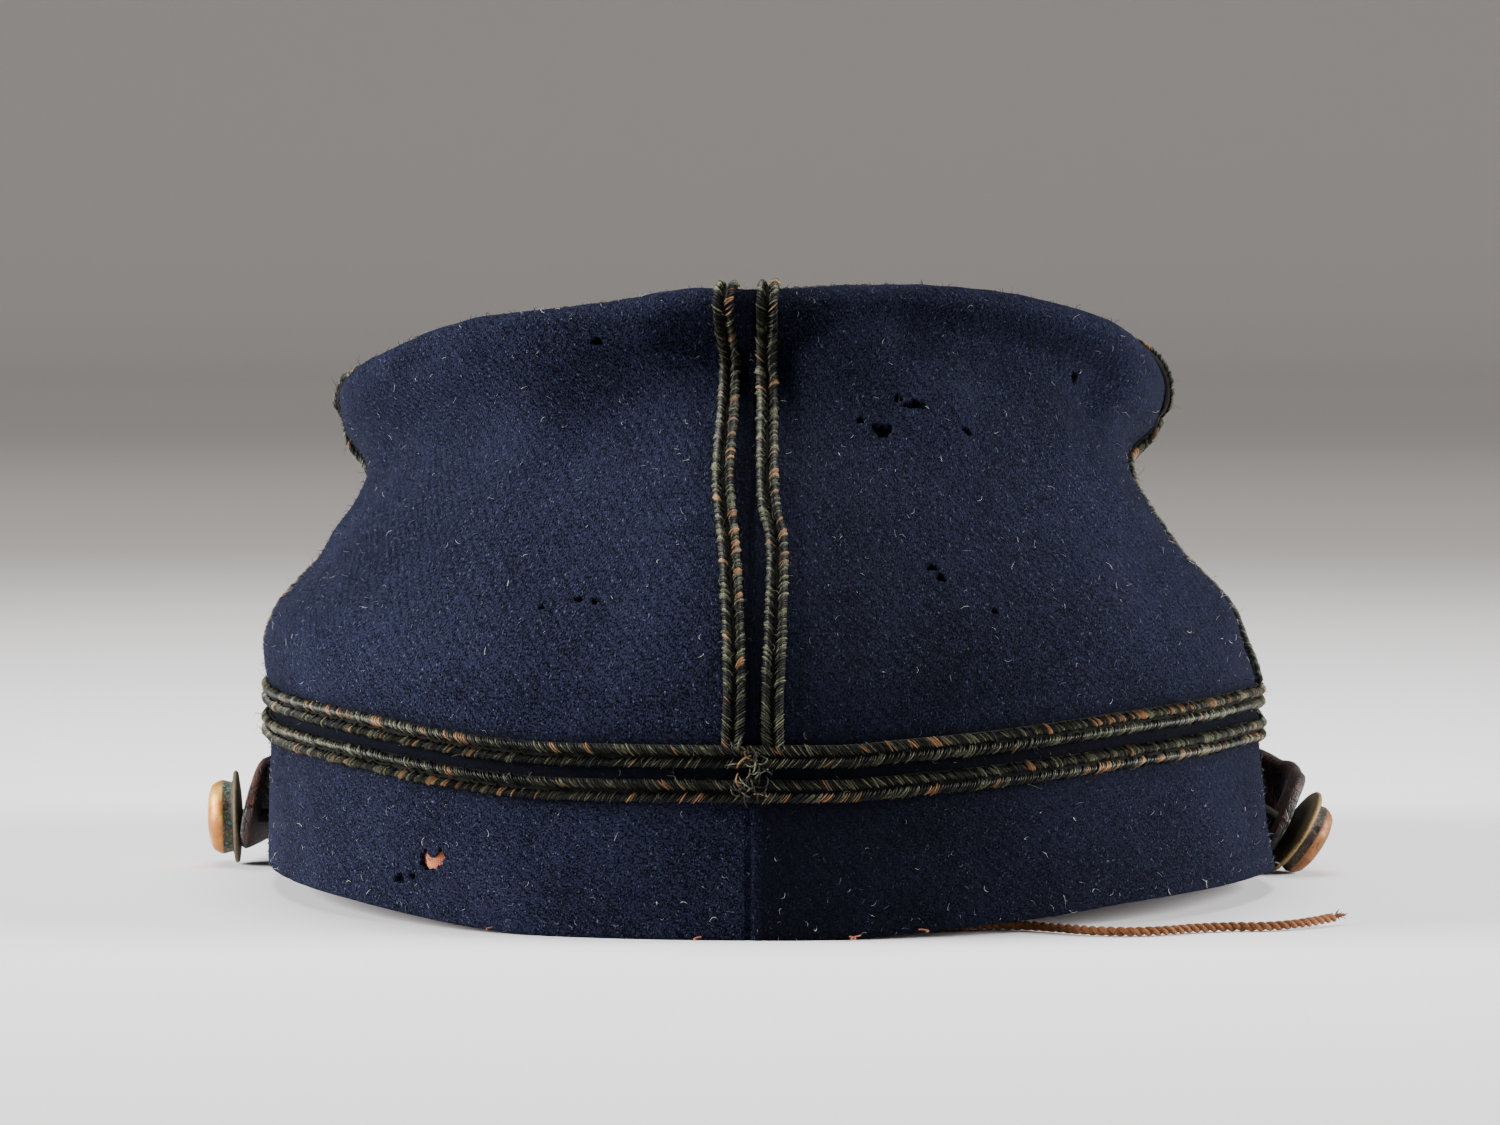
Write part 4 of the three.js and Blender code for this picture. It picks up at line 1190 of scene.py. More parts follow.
RIB_PLACE = 0.26  # share of BRAID_WIDTH from the row's middle to a rib's
PLY_PITCH = 0.44 * MM
PLY_SLANT = 0.85
PLY_SIZE = (0.45 * MM, 0.125 * MM, 1.0 * MM)  # half height, half width and half length
PLY_LIFT = 1.1 * MM
PLY_BEND = 1.1  # how far a ply's ends dip, as a share of its half height
TIP_BRAID_SUNK = 1.1 * MM  # how deep the row lies in the soft cloth where it is over the top's edge
# The core is painted near black, as shade between and under the plies.
# The dark core's outline under the plies: shares of the row's width and thickness
CORE = (
    (-0.46, -0.15),
    (-0.42, 0.3),
    (-0.28, 0.62),
    (0, 0.2),
    (0.28, 0.62),
    (0.42, 0.3),
    (0.46, -0.15),
)


def path_object(name, points, outs, closed):
    """A line of points for a tree to walk along, with its way out."""
    count = len(points)
    edges = [(i, i + 1) for i in range(count - 1)] + ([(count - 1, 0)] if closed else [])
    mesh = bpy.data.meshes.new(name)
    mesh.from_pydata(points.tolist(), edges, [])
    piece = link(name, mesh)
    set_vector(piece, "out", outs)
    return piece


def braid_row(name, points, outs, closed, worn, seed):
    """One row: a core painted dark as shade and two ribs of plies slanting opposite ways."""
    tangent = ring_frames(points, closed)[0]
    across = unit(np.cross(outs, tangent))
    section = np.array(CORE)
    rows = [
        points + across * side * BRAID_WIDTH + outs * rise * BRAID_THICKNESS
        for side, rise in section
    ]
    rings = np.stack(rows, 1)
    count, sides = len(points), len(section)
    faces = []
    for i in range(count if closed else count - 1):
        a, b = i * sides, (i + 1) % count * sides
        for j in range(sides):
            k = (j + 1) % sides
            faces.append((a + j, b + j, b + k, a + k))
    if not closed:
        faces.append(tuple(range(sides)))
        faces.append(tuple((count - 1) * sides + j for j in reversed(range(sides))))
    core = mesh_piece(name, rings.reshape(-1, 3), faces)
    faced_outwards(core)
    # The core is painted near black as shade between the plies.
    set_number(core, "hollow", np.ones(len(core.data.vertices)))
    look = bpy.context.scene.kepi_braid
    material = bpy.data.materials["mohair"]
    core.data.materials.append(material)
    ribs = []
    for rib, wear in ((-1, worn[0]), (1, worn[1])):
        path = path_object(f"{name}_rib{rib}", points, outs, closed)
        ribs.append(
            grown(
                path,
                "plies",
                Pitch=PLY_PITCH,
                Slant=rib * PLY_SLANT,
                Offset=rib * RIB_PLACE * BRAID_WIDTH,
                Lift=PLY_LIFT,
                Size=PLY_SIZE,
                Uneven=look.uneven,
                Worn=wear,
                Seed=seed * 10 + rib,
                Material=material,
            )
        )
    return dressed(joined(core, *ribs), material, "braid", name)


def level_at(turn, above):
    """The crown's level at a distance above the start of its roll."""
    return 1 + above / np.where(above < 0, edge_above(turn), LIP)


def tip_braid_height(turn):
    return LIP * all_round(TIP_BRAID, "place", turn)


def level_rows():
    """The rows round the cap: name, points, ways out and the wear of each rib."""
    turns = np.linspace(-180, 180, 520, endpoint=False)
    lower_height = BAND_HEIGHT - BRAID_WIDTH - BRAID_GAP
    for name, height, worn in (
        ("braid_band_upper", BAND_HEIGHT + 0.5 * MM, (1.0, 0.0)),
        ("braid_band_lower", lower_height + 0.5 * MM, (0.0, 1.0)),
    ):
        points, normal, _, _ = frame_on(band_point, turns, height, BAND_STEP)
        yield name, points, unit(normal * [1, 1, 0]), worn
    levels = level_at(turns, tip_braid_height(turns))
    points, normal, _, _ = frame_on(crown_point, turns, levels, CROWN_STEP)
    sunk = TIP_BRAID_SUNK * np.clip(tip_braid_height(turns) / LIP - 0.7, 0, 1)
    yield "braid_tip", points - normal * sunk[:, None], normal, (0.3, 0.6)


def upright_rows():
    """The rows up the sides: name, points, ways out and the wear of each rib."""
    for pair, foot, head, first, second, wander in UPRIGHT_PAIRS:
        low = BRAID_WIDTH / 2 / edge_above(float(foot))
        top = tip_braid_height(float(head)) - BRAID_WIDTH / 2 - 1.6 * MM
        levels = np.linspace(low, level_at(float(head), top), 90)
        middle = foot + (head - foot) * np.minimum(levels, 1)
        stride = crown_point(middle + 0.5, levels) - crown_point(middle - 0.5, levels)
        per_degree = np.linalg.norm(stride, axis=-1)
        share = (levels - levels[0]) / (levels[-1] - levels[0])
        for side, name, column in ((1, first, "first"), (-1, second, "second")):
            sway = along(WANDER, "along", column, share) * wander * BRAID_WIDTH
            turns = middle + (side * PAIR_SPACING / 2 + sway) / per_degree
            points, normal, _, _ = frame_on(crown_point, turns, levels, CROWN_STEP)
            worn = (1.0, 0.0) if side > 0 else (0.6, 0.1)
            yield f"braid_{pair}_{name}", points, normal, worn


def build_braid():
    for seed, (name, points, outs, worn) in enumerate(level_rows(), 3):
        braid_row(name, points, outs, True, worn, seed)
    for seed, (name, points, outs, worn) in enumerate(upright_rows(), 11):
        braid_row(name, points, outs, False, worn, seed)


# Cloth


CROWN_TURNS, CROWN_LEVELS = 420, 80
BAND_TURNS, BAND_LEVELS = 420, 30


def cut_finely(piece, surface, places):
    """Cuts a sheet's faces small round each place: its turn, its level and how far it reaches."""
    bm = bmesh.new()
    bm.from_mesh(piece.data)
    patches = [(Vector(surface(np.float64(t), np.float64(l))), r + 1 * MM) for t, l, r in places]
    edges = {}
    for face in bm.faces:
        middle = face.calc_center_median()
        if any((middle - centre).length < reach for centre, reach in patches):
            edges.update(dict.fromkeys(face.edges))
    bmesh.ops.subdivide_edges(bm, edges=list(edges), cuts=5, use_grid_fill=True)
    bm.to_mesh(piece.data)
    bm.free()


def reaches(holes):
    """The turn, the level and the reach of each moth hole."""
    return [(turn, level, max(wide, tall)) for turn, level, wide, tall in holes]


def moth_eaten(piece, surface, step, holes):
    """Ragged dark pits in a sheet of cloth, their darkness painted shade."""
    bm = bmesh.new()
    bm.from_mesh(piece.data)
    worn = bm.verts.layers.float.get("worn")
    for turn, level, wide, tall in holes:
        place = [Vector(v) for v in frame_on(surface, np.float64(turn), np.float64(level), step)]
        centre, normal, across, up = place
        near = [v for v in bm.verts if (v.co - centre).length < max(wide, tall)]
        for v in near:
            x, y = (v.co - centre).dot(across) * 2 / wide, (v.co - centre).dot(up) * 2 / tall
            angle = math.atan2(y, x)
            ragged = 1 + 0.16 * math.sin(3 * angle + turn) + 0.12 * math.sin(7 * angle + 5 * level)
            inside = np.clip((1.2 - math.hypot(x, y) / ragged) / 0.35, 0, 1)
            v.co -= normal * HOLE_DEPTH * float(inside)
            # Painted shade in the pit.
            v[worn] = max(v[worn], 0.9 * float(inside))
    bm.to_mesh(piece.data)
    bm.free()


def torn_open(piece):
    """Cuts the crescent in the band round its flap of cloth."""
    bm = bmesh.new()
    bm.from_mesh(piece.data)
    place = frame_on(band_face, np.float64(TORN_TURN), np.float64(TORN_HEIGHT), BAND_STEP)
    centre, _, across, up = [Vector(v) for v in place]
    gone = []
    for face in bm.faces:
        away = face.calc_center_median() - centre
        if away.length > TORN_WIDTH:
            continue
        x, y = away.dot(across) * 2 / TORN_WIDTH, away.dot(up) * 2 / TORN_TALL
        ragged = 1 + 0.08 * math.sin(9 * math.atan2(y, x))
        flap = math.hypot(x / 0.5, (y - 0.85) / 0.8)
        if math.hypot(x, y + 0.2 * x) < ragged and flap > 1:
            gone.append(face)
    bmesh.ops.delete(bm, geom=gone, context="FACES")
    bm.to_mesh(piece.data)
    bm.free()


def shadow_of(distance, width):
    """1 at a line and 0 further off than a width."""
    return np.exp(-((distance / width) ** 4))


def painted_shade_past_seam(turn, height):
    """Painted shade where the cloth's nap lies the other way: all to the right of the rear seam."""
    near = np.mod(turn + 180, 360) - 180
    past_seam = np.clip(-near / 1.5, 0, 1)
    by_turn = 0.3 + 0.5 * np.clip(1 + near / 62, 0, 1)
    by_height = np.clip(1.25 - height / 75 / MM, 0.5, 1)
    return past_seam * by_turn * by_height


def build_band():
    turns = fine_turns(BAND_TURNS)
    heights = np.linspace(0, BAND_HEIGHT, BAND_LEVELS)
    grid = np.meshgrid(turns, heights)
    points = band_face(*grid)
    piece = grid_piece("cloth_band", points, perimeter_place(turns), heights)
    # Painted shade on the band between its two rows of braid.
    between = BAND_HEIGHT - (BRAID_WIDTH + BRAID_GAP) / 2
    set_number(piece, "worn", 0.92 * shadow_of(grid[1] - between, 4.6 * MM).ravel())
    # Painted shade to the right of the rear seam.
    set_number(piece, "against", painted_shade_past_seam(*grid).ravel())
    torn = (TORN_TURN, TORN_HEIGHT, TORN_WIDTH)
    cut_finely(piece, band_face, [*reaches(BAND_HOLES), torn])
    moth_eaten(piece, band_face, BAND_STEP, BAND_HOLES)
    torn_open(piece)
    thickened(piece, CLOTH)
    return dressed(piece, bpy.data.materials["napped_wool"], "wool", "band")


def build_crown():
    turns = fine_turns(CROWN_TURNS)
    side = np.linspace(0, 1, CROWN_LEVELS - 14, endpoint=False)
    levels = np.concatenate([side, np.linspace(1, 3, 15)])
    grid = np.meshgrid(turns, levels)
    points = crown_face(*grid)
    climb = np.minimum(levels, 1) * CROWN_CLIMB + np.maximum(levels - 1, 0) * LIP
    piece = grid_piece("cloth_crown", points, perimeter_place(turns), BAND_HEIGHT + climb)
    # Painted shade on the crown between the rear pair of braid rows and along its foot above the
    # band's braid.
    x = perimeter_place(grid[0]) - 1.2 * MM * np.minimum(grid[1], 1)
    height = grid[1] * CROWN_CLIMB
    painted_shade_by_braid = np.maximum(0.55 * shadow_of(x, 3 * MM), 0.7 * shadow_of(height, 2.6 * MM))
    set_number(piece, "worn", painted_shade_by_braid.ravel())
    # Painted shade to the right of the rear seam.
    set_number(piece, "against", painted_shade_past_seam(grid[0], BAND_HEIGHT + height).ravel())
    cut_finely(piece, crown_face, reaches(CROWN_HOLES))
    moth_eaten(piece, crown_face, CROWN_STEP, CROWN_HOLES)
    thickened(piece, CLOTH)
    return dressed(piece, bpy.data.materials["napped_wool"], "wool", "crown")


def tip_face(turns, rings, drop):
    """Rows of points of the tip from its edge to near its middle."""
    edge = crown_point(turns, 3) - tip_outward(turns) * FIT
    centre = edge.mean(0)
    rows = [centre + (edge - centre) * r - TIP_UP * (drop + TIP_SINK * (1 - r**2)) for r in rings]
    return np.array(rows)


def build_tip():
    turns = np.linspace(-180, 180, 200, endpoint=False)
    rings = np.linspace(1, 0.02, 44)
    upper = tip_face(turns, rings, 0.0)
    flat = upper[..., 0], upper[..., 1]
    upper = upper + TIP_UP * (SWELL * 2 * ripple(*flat, 40 * MM, 8))[..., None]
    faces = [tuple(map(int, f)) for f in grid_faces(len(rings), len(turns), True)]
    first = (len(rings) - 1) * len(turns)
    faces.append(tuple(range(first, first + len(turns))))
    piece = mesh_piece("cloth_tip", upper.reshape(-1, 3), faces)
    layer = piece.data.uv_layers.new(name="UVMap")
    corner = np.zeros(len(piece.data.loops), np.int32)
    piece.data.loops.foreach_get("vertex_index", corner)
    places = upper.reshape(-1, 3)[corner][:, :2]
    layer.data.foreach_set("uv", places.astype(np.float32).ravel())
    thickened(piece, TIP_CLOTH)
    return dressed(piece, bpy.data.materials["napped_wool"], "wool", "tip")


def lining_face(turns, heights, depth):
    flat = np.maximum(heights, 0.2 * BAND_HEIGHT)
    point, normal, _, _ = frame_on(band_point, turns, flat, BAND_STEP)
    point[..., 2] = rim_height(turns) + heights
    off = perimeter_place(turns) - perimeter_place(TORN_TURN), heights - TORN_HEIGHT
    bulge = LINING_BULGE * np.exp(-((off[0] / (0.6 * TORN_WIDTH)) ** 2) - (off[1] / TORN_TALL) ** 2)
    return point - unit(normal * [1, 1, 0]) * (depth - bulge)[..., None]


def build_lining():
    turns = np.linspace(-180, 180, 480, endpoint=False)
    heights = LINING_DROP + np.linspace(0, 1, 24) * LINING_HEIGHT
    points = lining_face(*np.meshgrid(turns, heights), CLOTH + FIT)
    piece = grid_piece("cotton_lining", points, perimeter_place(turns), heights)
    thickened(piece, LINING)
    return dressed(piece, bpy.data.materials["salmon_cotton"], "lining", "lining_band")


# Leather


def section_piece(name, rings):
    """A closed piece from like sections one after another, shut at both ends."""
    count, sides = rings.shape[:2]
    faces = [tuple(map(int, f)) for f in grid_faces(count, sides, True)]
    faces.append(tuple(range(sides)))
    faces.append(tuple((count - 1) * sides + j for j in reversed(range(sides))))
    return faced_outwards(mesh_piece(name, rings.reshape(-1, 3), faces))


def peak_section(aside):
    """The peak's outline at one place round the front, from the seam out over the edge and back."""
    turn = 180.0 + aside * PEAK_SPAN
    seam = 0.2 * BAND_HEIGHT
    start, normal, _, _ = frame_on(band_point, turn, seam, BAND_STEP)
    out_way = unit(normal * [1, 1, 0])
    inner = (start - out_way * PEAK_MARGIN) * [1, 1, 0]
    out_way = out_way * [PEAK_SPREAD, 1, 1]
    reach = PEAK_REACH * max(1 - aside**2, 0.03)
    share = reach / PEAK_REACH
    seat = rim_height(turn) - FIT
    edge = seat + (PEAK_LEATHER - seat) * min(1, 1.6 * share)
    half = PEAK_LEATHER / 2
    bend = np.linspace(90, -90, 9)

    def middle(place):
        out = place * (reach + PEAK_MARGIN)
        past = np.maximum(out - PEAK_MARGIN, 0) / reach
        z = seat + (edge - seat) * past + PEAK_BOW * share * np.sin(math.pi * past) - half
        return inner + out_way * out[:, None] * [1, 1, 0] + np.stack([0 * z, 0 * z, z], -1)

    last = 1 - half / (reach + PEAK_MARGIN)
    flat = middle(np.linspace(0, last, 30))
    tip = middle(np.array([last]))[0]
    up, out = np.array([0, 0, half]), out_way * [1, 1, 0] * half
    round_edge = [
        tip + out * math.cos(math.radians(a)) + up * math.sin(math.radians(a)) for a in bend
    ]
    return np.concatenate([flat[:-1] + up, round_edge, (flat[:-1] - up)[::-1]])


def build_peak():
    rings = np.array([peak_section(a) for a in np.linspace(-1, 1, 150)])
    rings[..., 2] = np.maximum(rings[..., 2], 0.0)
    piece = section_piece("leather_peak", rings)
    return dressed(piece, bpy.data.materials["old_leather"], "leather", "peak")


# Across the strap and off it, as shares of half its width and of its leather
STRAP_SECTION = (
    (-1, 0),
    (-0.97, 0.3),
    (-0.9, 0.47),
    (-0.75, 0.5),
    (-0.4, 0.5),
    (0, 0.5),
    (0.4, 0.5),
    (0.75, 0.5),
    (0.9, 0.47),
    (0.97, 0.3),
    (1, 0),
    (0.97, -0.3),
    (0.9, -0.5),
    (0.4, -0.5),
    (-0.4, -0.5),
    (-0.9, -0.5),
    (-0.97, -0.3),
)


def strap_frames(turns):
    """The strap's middle line and the directions off its face and down across it."""
    up = along(STRAP, "turn", "up", turns)
    out = along(STRAP, "turn", "out", turns)
    lean = np.radians(along(STRAP, "turn", "lean", turns))
    start, normal, _, _ = frame_on(band_point, turns, up * BAND_HEIGHT, BAND_STEP)
    outward = unit(normal * [1, 1, 0])
    points = start + outward * (out * STRAP_STANDOFF)[:, None]
    ahead = unit(np.gradient(points, turns, axis=0))
    face = np.stack([ahead[:, 1], -ahead[:, 0], 0 * turns], -1)
    face = face * np.where((face * outward).sum(-1) < 0, -1, 1)[:, None]
    face = unit(face)
    down = outward * np.sin(lean)[:, None] - np.array([0, 0, 1]) * np.cos(lean)[:, None]
    face = unit(face - down * (face * down).sum(-1)[:, None])
    return points, face, down


def build_strap():
    first, last = STRAP["turn"][[0, -1]]
    sweep = np.sin(np.linspace(-math.pi / 2, math.pi / 2, 420))
    turns = (first + last) / 2 + (last - first) / 2 * sweep
    points, face, down = strap_frames(turns)
    length = np.concatenate([[0], np.cumsum(np.linalg.norm(np.diff(points, axis=0), axis=1))])
    half = STRAP_WIDTH / 2
    from_end = np.minimum(np.minimum(length, length[-1] - length), half)
    wide = np.maximum(np.sqrt(half**2 - (half - from_end) ** 2), 0.04 * half)
    section = np.array(STRAP_SECTION)
    rings = (
        points[:, None]
        + down[:, None] * section[:, 0][None, :, None] * wide[:, None, None]
        + face[:, None] * section[:, 1][None, :, None] * STRAP_LEATHER
    )
    piece = section_piece("leather_strap", rings)
    turn, across = np.broadcast_arrays(turns[:, None], section[:, 0])
    inner = np.broadcast_to(section[:, 1] < 0, turn.shape)
    bare = np.exp(-(((turn - 96) / 9) ** 4) - ((across + 0.75) / 0.45) ** 4)
    set_number(piece, "flesh", np.maximum(0.7 * inner, bare).ravel())
    return dressed(piece, bpy.data.materials["old_leather"], "leather", "chin_strap")


# Brass


# The button's outline about its own middle, in mm out and up from the flange's back. The zone is 0 on
# the flange, 1 on the cap's side and 2 on its face, and the edge is 1 where it is rubbed.
BUTTON_OUTLINE = columns(
    "out up zone edge",
    (0, -10, 0, 0),
    (1.2, -10, 0, 0),
    (1.2, 0.4, 0, 0),
    (4.2, 0.6, 0, 0),
    (7.2, 1.0, 0, 0.3),
    (7.55, 1.25, 0, 1),
    (7.58, 1.55, 0, 1),
    (7.3, 1.85, 0, 0.6),
    (6.0, 2.02, 0, 0),
    (5.75, 2.2, 1, 0),
    (5.85, 2.7, 1, 0),
    (6.0, 3.3, 1.1, 0),
    (6.08, 3.75, 1.7, 0),
    (5.95, 4.3, 2, 0),
    (5.6, 4.95, 2, 0.4),
    (5.2, 5.4, 2, 0.5),
    (4.2, 5.8, 2, 0),
    (3.05, 6.05, 2, 0),
    (1.6, 6.17, 2, 0),
    (0, 6.2, 2, 0),
)
BUTTON_SIDES = 72


def turned_piece(out, up, sides, wobble):
    """Points and faces of a closed turned piece about +Z, with poles at both ends."""
    angle = np.arange(sides) * 2 * math.pi / sides
    radius = out[1:-1, None] * (1 + wobble(angle))
    height = np.broadcast_to(up[1:-1, None], radius.shape)
    points = np.stack([radius * np.cos(angle), radius * np.sin(angle), height], -1)
    rows = len(out) - 2
    flat = points.reshape(-1, 3)
    foot, top = len(flat), len(flat) + 1
    flat = np.concatenate([flat, [[0, 0, up[0]], [0, 0, up[-1]]]])
    faces = [tuple(map(int, f)) for f in grid_faces(rows, sides, True)]
    for j in range(sides):
        k = (j + 1) % sides
        faces.append((foot, k, j))
        faces.append((top, (rows - 1) * sides + j, (rows - 1) * sides + k))
    return flat, faces


def build_buttons():
    for seed, (name, turn, out, up, facing) in enumerate(BUTTONS, 40):
        rng = np.random.default_rng(seed)
        dents = rng.normal(0, 1, (3, 20))

        def wobble(angle):
            waves = ((2, 0.006), (3, 0.005), (7, 0.003))
            return sum(size * np.sin(k * angle + dents[0, k]) for k, size in waves)

        out_mm, up_mm = BUTTON_OUTLINE["out"], BUTTON_OUTLINE["up"]
        points, faces = turned_piece(out_mm * MM, up_mm * MM, BUTTON_SIDES, wobble)
        start, normal, _, _ = frame_on(band_point, float(turn), up * BAND_HEIGHT, BAND_STEP)
        seat = start + unit(normal * [1, 1, 0]) * out * BUTTON_STANDOFF
        z = unit(np.array(facing, float))
        x = unit(np.cross([0, 0, 1.0], z))
        y = np.cross(z, x)
        points = seat + points @ np.array([x, y, z])
        piece = mesh_piece(f"brass_{name}", points, faces)
        for column in ("zone", "edge"):
            values = BUTTON_OUTLINE[column]
            rings = np.repeat(values[1:-1], BUTTON_SIDES)
            set_number(piece, column, np.append(rings, (values[0], values[-1])))
        faced_outwards(piece)
        dressed(piece, bpy.data.materials[name], "brass", name)


# Drawstring


STRAND_WIDTH = 0.86 * MM
STRAND_TURN = 2.9 * MM


def smooth_route(points, count):
    """Points spread evenly along a smooth line through a route's points."""
    place = np.concatenate([[0], np.cumsum(np.linalg.norm(np.diff(points, axis=0), axis=1))])
    table = {"place": place, "x": points[:, 0], "y": points[:, 1], "z": points[:, 2]}
    where = np.linspace(0, place[-1], count)
    return np.stack([along(table, "place", c, where) for c in "xyz"], -1)


def route_length(points):
    return float(np.linalg.norm(np.diff(points, axis=0), axis=1).sum())


def build_drawstring():
    route = smooth_route(CORD_ROUTE + CENTRE, 260)
    length = route_length(route)
    _, side, up = ring_frames(route)
    walk = np.linspace(0, length, len(route))
    paths = []
    for start in (0, math.pi):
        angle = walk / STRAND_TURN * 2 * math.pi + start
        swing = side * np.cos(angle)[:, None] + up * np.sin(angle)[:, None]
        paths.append(route + swing * (CORD_WIDTH - STRAND_WIDTH) / 2)
    rng = np.random.default_rng(7)
    tuft = []
    end, way = route[-1], unit(route[-1] - route[-4])
    for _ in range(46):
        fan = rng.normal(0, 0.4, 3) * [1, 1, 0.7]
        t = np.linspace(0, 1, 6)[:, None]
        fly = way * t + fan * t**1.6 * 0.9 + [0, 0, 0.25] * t
        hair = end + fly * rng.uniform(0.9, 1.7) * MM
        hair[:, 2] = np.maximum(hair[:, 2], 0.15 * MM)
        tuft.append(hair)
    radii = [STRAND_WIDTH / 2] * 2 + [0.07 * MM] * len(tuft)
    piece = tubes("twisted_drawstring", paths, radii[:2], 8)
    frayed = tubes("frayed_end", tuft, radii[2:], 4)
    dressed(frayed, bpy.data.materials["twine"], "cord")
    dressed(piece, bpy.data.materials["twine"], "cord", "drawstring")
    marks = smooth_route(CORD_ROUTE + CENTRE, 30)
    return piece


# Lint and nap


def skin_of(name, surface, low, high, rows):
    """A thin sheet on the cloth for fibres to grow from."""
    turns = np.linspace(-180, 180, 220, endpoint=False)
    levels = np.linspace(low, high, rows)
    grid = np.meshgrid(turns, levels)
    return grid_piece(name, surface(*grid), perimeter_place(turns), levels), grid


def build_nap():
    """Short nap and curly lint over the band and the crown."""
    look = bpy.context.scene.kepi_fibres
    sheets = (
        ("band", band_face, 0.3 * MM, BAND_HEIGHT - 0.5 * MM, 16, 71),
        ("crown", crown_face, 0.03, 2.7, 50, 72),
    )
    for name, surface, low, high, rows, seed in sheets:
        for kind, material, density, length, thickness, lean, spread, steps in (
            ("nap", "nap_hair", look.nap, look.nap_length, 0.042 * MM, 1.05, 0.4, 1),
            ("lint", "lint", look.lint, look.lint_length, 0.028 * MM, 1.45, 0.2, 5),
        ):
            sheet, (turns, levels) = skin_of(f"{kind}_{name}", surface, low, high, rows)
            height = levels if name == "band" else levels * CROWN_CLIMB
            cloud = 0.5 + 0.5 * ripple(perimeter_place(turns), height, 12 * MM, seed)
            if kind == "lint" and name == "band":
                cloud = cloud + 2.5 * np.exp(-levels / (3 * MM))
            set_number(sheet, "linty", np.clip(cloud, 0.15, 4).ravel())
            hair = grown(
                sheet,
                "fibres",
                Density=density,
                Length=length,
                Thickness=thickness,
                Lean=lean,
                Spread=spread,
                Steps=steps,
                Seed=seed,
                Material=bpy.data.materials[material],
            )
            dressed(hair, None, "wool")


def build_fuzz():
    """Hairs that stand off the braid."""
    look = bpy.context.scene.kepi_fibres
    rows = [(n, pts, outs, True) for n, pts, outs, _ in level_rows()]
    rows += [(n, pts, outs, False) for n, pts, outs, _ in upright_rows()]
    for seed, (name, points, outs, closed) in enumerate(rows, 90):
        across = unit(np.cross(outs, ring_frames(points, closed)[0])) * BRAID_WIDTH / 2
        lifted = points + outs * 0.8 * BRAID_THICKNESS
        sheet_points = np.stack([lifted + across, lifted - across])
        place = np.arange(len(points)) * MM
        if closed:
            place = perimeter_place(np.linspace(-180, 180, len(points), endpoint=False))
        skin = grid_piece(f"fuzz_{name}", sheet_points, place, np.array([0, BRAID_WIDTH]), closed)
        set_number(skin, "linty", np.ones(len(skin.data.vertices)))
        hair = grown(
            skin,
            "fibres",
            Density=look.fuzz,
            Length=look.fuzz_length,
            Thickness=0.03 * MM,
            Lean=1.0,
            Spread=0.6,
            Steps=3,
            Seed=seed,
            Material=bpy.data.materials["fuzz"],
        )
        dressed(hair, None, "braid")


ARC_POINTS = 9
THREAD_SIDES = 5


def arcs(rng, centre, frame, count, spread, length):
    """Short curved threads lying about a place, in its directions across, up and out."""
    for _ in range(count):
        start = rng.uniform(-1, 1, 2) * spread
        angle, bend = rng.uniform(0, 2 * math.pi), rng.uniform(-2.5, 2.5)
        long = length * rng.uniform(0.5, 1)
        t = np.linspace(0, 1, ARC_POINTS)
        heading = angle + bend * t
        steps = np.stack([np.cos(heading), np.sin(heading)], -1) * long / ARC_POINTS
        flat = np.cumsum(steps, 0) + start
        rise = np.sin(math.pi * t) * rng.uniform(0.2, 0.8) * MM
        yield centre + flat @ frame[:2] + rise[:, None] * frame[2]


def build_ends():
    """The tucked and tangled ends of braid at the rear seam, and loose threads at the rim."""
    rng = np.random.default_rng(61)
    for name, height, spread, count, radius in (
        ("tucked_ends_upper", BAND_HEIGHT, (1.6 * MM, 1 * MM), 24, 0.13 * MM),
        ("tucked_ends_lower", 23 * MM, (2.2 * MM, 1.2 * MM), 30, 0.12 * MM),
    ):
        place = frame_on(band_point, np.float64(-0.3), np.float64(height), BAND_STEP)
        point, normal, across, up = place
        frame = np.array([across, up, normal])
        paths = list(arcs(rng, point + normal * 1.5 * MM, frame, count, spread, 3.4 * MM))
        piece = tubes(name, paths, [radius] * count, THREAD_SIDES)
        set_number(piece, "ply", rng.random(count).repeat(ARC_POINTS * THREAD_SIDES))
        set_number(piece, "worn", (rng.random(count) > 0.92).repeat(ARC_POINTS * THREAD_SIDES))
        dressed(piece, bpy.data.materials["mohair"], "braid")
    paths = []
    for turn, lean in ((5, 0.6), (-10.8, -0.5), (-12, 0.9), (-18.2, -0.8), (28, 0.4)):
        point, normal, across, up = frame_on(
            band_point, np.float64(turn), np.float64(0.6 * MM), BAND_STEP
        )
        t = np.linspace(0, 1, 7)[:, None]
        sway = across * lean * np.sin(2.4 * t) - up * 0.25 * t + normal * (0.3 + 0.5 * t)
        paths.append(point + sway * 1.7 * MM)
    piece = tubes("lining_threads", paths, [0.11 * MM] * len(paths), THREAD_SIDES)
    dressed(piece, bpy.data.materials["salmon_cotton"], "lining")


# Stage


FLOOR_SIDES = 96
FLOOR_RADIUS = 2.7
SWEEP_RADIUS = 1.6


def floor_finish():
    """Pale near the cap and grey further off: a painted pool of light round the cap."""
    look = bpy.context.scene.kepi_stage
    ground = Surface("floor")
    away = ground.vector("LENGTH", ground.place, out=1)
    # Painted light: a pale pool round the cap that fades to grey further off.
    colour = ground.mix(away.rise(-0.15, 1.02), tuple(look.floor_near_painted_light), tuple(look.floor_far_painted_shade))
    colour = ground.mix(away.rise(1.7, 2.9), colour, tuple(look.backdrop))
    return ground.finish(Base_Color=colour, Roughness=0.75, Specular_IOR_Level=0.2)


